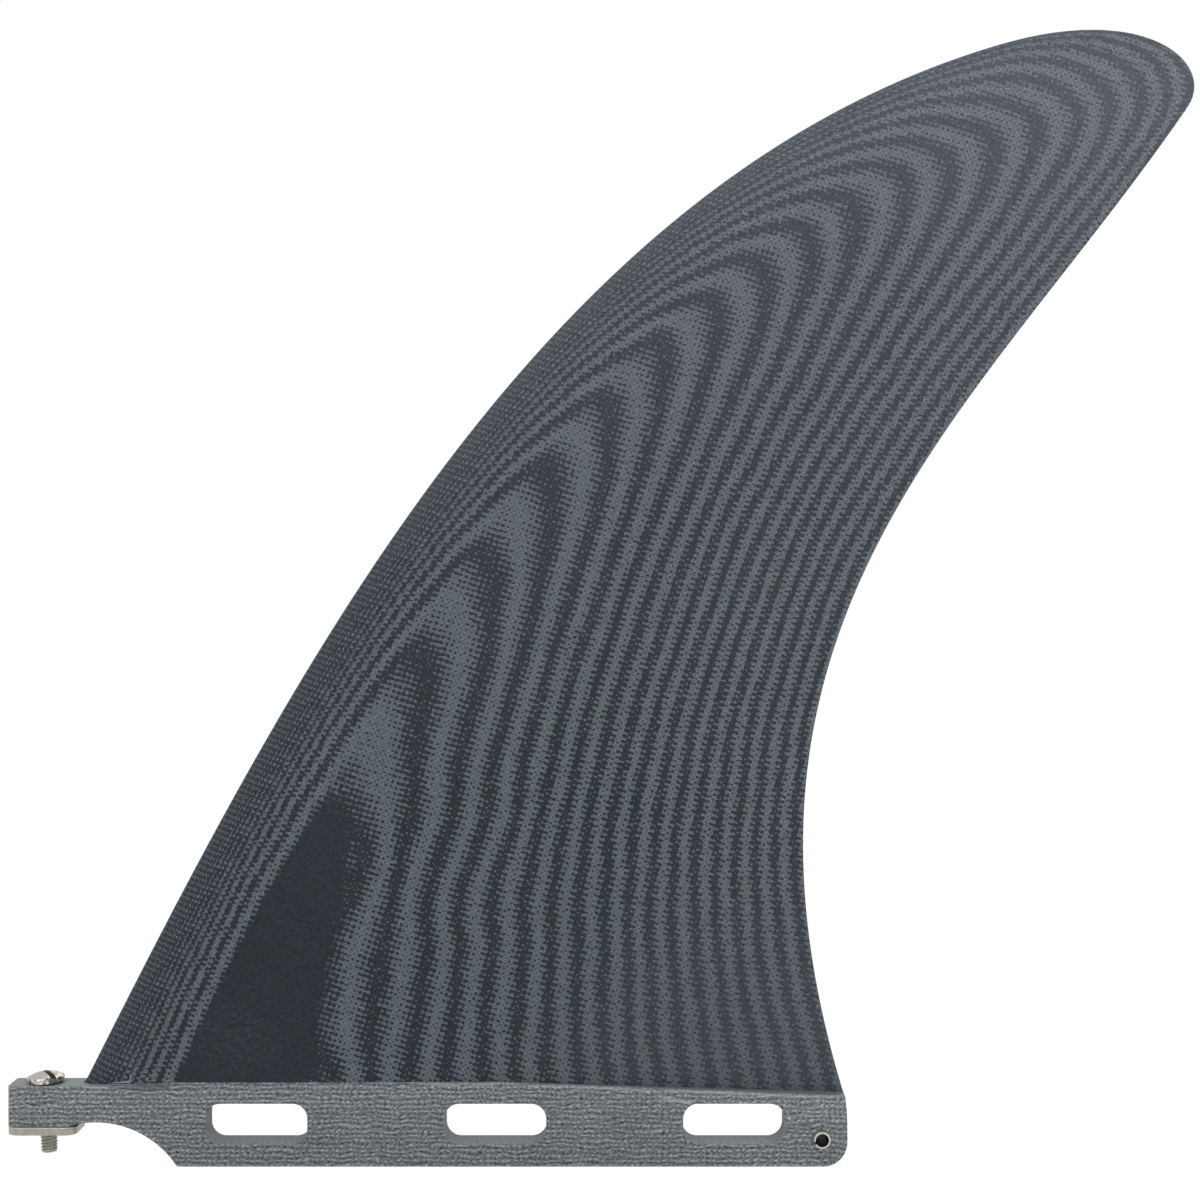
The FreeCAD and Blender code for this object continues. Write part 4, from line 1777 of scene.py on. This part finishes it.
@dataclass
class Studio:
    """A pale floor, soft lights and a camera at the photograph's place.

    The lamps, the point that they light and the camera's nearest view are in metres.
    """

    camera_place: tuple[float, float, float] = (42.3, -530.0, 119.27)
    focal_pixels: float = 2142.0
    picture_pixels: float = 1200.0
    sensor: float = 36.0
    nearest: float = 0.01
    floor_level: float = -19.9
    floor_radius: float = 4000.0
    floor_sides: int = 64
    floor_shade: float = 0.9
    floor_shadow: float = 0.25
    floor_glow: float = 1.19
    ambient: float = 0.5
    lit_point: tuple[float, float, float] = (0.04, 0.0, 0.12)
    lamps: tuple[Lamp, ...] = (
        Lamp("key_lamp", (-0.9, -1.1, 1.5), 1.0, 11.0),
        Lamp("fill_lamp", (1.3, -1.2, 0.8), 1.2, 6.0),
        Lamp("back_lamp", (0.3, 1.6, 1.3), 1.2, 8.0),
    )

    def camera(self) -> None:
        """Set the camera square to the fin, level, at the photograph's distance."""
        lens = bpy.data.cameras.new("camera")
        lens.sensor_width = self.sensor
        lens.lens = self.focal_pixels / self.picture_pixels * self.sensor
        lens.clip_start = self.nearest
        viewer = bpy.data.objects.new("camera", lens)
        viewer.location = [v * MM for v in self.camera_place]
        viewer.rotation_euler = (math.pi / 2, 0, 0)
        bpy.context.scene.collection.objects.link(viewer)
        bpy.context.scene.camera = viewer

    def seen(self, sheet: NodeSheet) -> Wire:
        """Tell the rays that see the background from those that carry its light.

        Args:
            sheet: The sheet that the nodes go on.

        Returns:
            1 for camera, glossy and transmission rays, 0 for the others.
        """
        kinds = ("Is Camera Ray", "Is Glossy Ray", "Is Transmission Ray")
        camera, glossy, passing = (sheet.node("ShaderNodeLightPath", {}, {}, kind)
                                   for kind in kinds)
        return (camera + glossy + passing).clamped()

    def floor(self) -> None:
        """Lay a wide white floor that keeps a faint shadow."""
        shape = bmesh.new()
        bmesh.ops.create_circle(shape, cap_ends=True, radius=self.floor_radius * MM,
                                segments=self.floor_sides)
        bmesh.ops.translate(shape, vec=(0, 0, self.floor_level * MM), verts=shape.verts)
        floor = bpy.data.objects.new("floor", as_mesh(shape, "floor"))
        material, sheet = new_material("floor_white")
        matt = sheet.node("ShaderNodeBsdfDiffuse", {}, {"Color": (*[self.floor_shade] * 3, 1.0)})
        glow = sheet.node("ShaderNodeEmission", {}, {"Color": WHITE,
                                                     "Strength": self.floor_glow})
        share = self.seen(sheet) * (1 - self.floor_shadow)
        mixed = sheet.node("ShaderNodeMixShader", {}, {0: share, 1: matt, 2: glow})
        sheet.node("ShaderNodeOutputMaterial", {}, {"Surface": mixed})
        floor.data.materials.append(material)
        bpy.context.scene.collection.objects.link(floor)

    def world(self) -> None:
        """Surround everything with white where it is seen, and softer light elsewhere."""
        world = bpy.data.worlds.new("studio")
        world.use_nodes = True
        sheet = NodeSheet(world.node_tree)
        strength = self.seen(sheet) * (1 - self.ambient) + self.ambient
        back = sheet.node("ShaderNodeBackground", {}, {"Color": WHITE, "Strength": strength})
        sheet.node("ShaderNodeOutputWorld", {}, {"Surface": back})
        bpy.context.scene.world = world

    def hang(self, lamp: Lamp) -> None:
        """Hang one lamp, facing the fin's middle.

        Args:
            lamp: The lamp.
        """
        light = bpy.data.lights.new(lamp.name, "AREA")
        light.size = lamp.side
        light.energy = lamp.power
        hung = bpy.data.objects.new(lamp.name, light)
        hung.location = lamp.place
        aim = Vector(self.lit_point) - Vector(lamp.place)
        hung.rotation_euler = aim.to_track_quat("-Z", "Y").to_euler()
        bpy.context.scene.collection.objects.link(hung)

    def build(self) -> None:
        """Set up the floor, the world, the lamps and the camera."""
        self.floor()
        self.world()
        for lamp in self.lamps:
            self.hang(lamp)
        self.camera()
        bpy.context.scene.view_settings.view_transform = "Standard"


def main() -> None:
    """Build every piece in turn, then the studio."""
    logging.basicConfig(level=logging.INFO, format="%(name)s %(message)s")
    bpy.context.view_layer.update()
    tab = Tab()
    screw = Screw()
    pin = SpringPin()
    build_fin(Blade(), tab)
    screw_finish = ScrewFinish(
        "screw_steel", Grain.TURNED, bright=paint(190, 187, 181), dull=paint(146, 142, 135),
        roughness=0.3, centre=(screw.seat(tab).translation.x, 0.0), lean=screw.lean,
        slot_turn=screw.slot_turn, slot_half=screw.slot_width / 2)
    plate_finish = SteelFinish(
        "plate_steel", Grain.TUMBLED, bright=paint(168, 164, 156), dull=paint(144, 140, 132),
        roughness=0.42)
    # The pin's bore is painted near black as the shade inside it
    pin_finish = PinFinish(
        "pin_steel", Grain.ROLLED, bright=paint(205, 204, 198), dull=paint(150, 146, 138),
        roughness=0.3, centre=(tab.rear - tab.pin_from_rear, -tab.pin_depth),
        shade_and_grime_colour=paint(20, 22, 24), bore=pin.diameter / 2 - pin.wall)
    screw.build(tab, screw_finish.make())
    NutPlate().build(tab, screw, plate_finish.make())
    pin.build(tab, pin_finish.make())
    Studio().build()


if __name__ == "__main__":
    main()
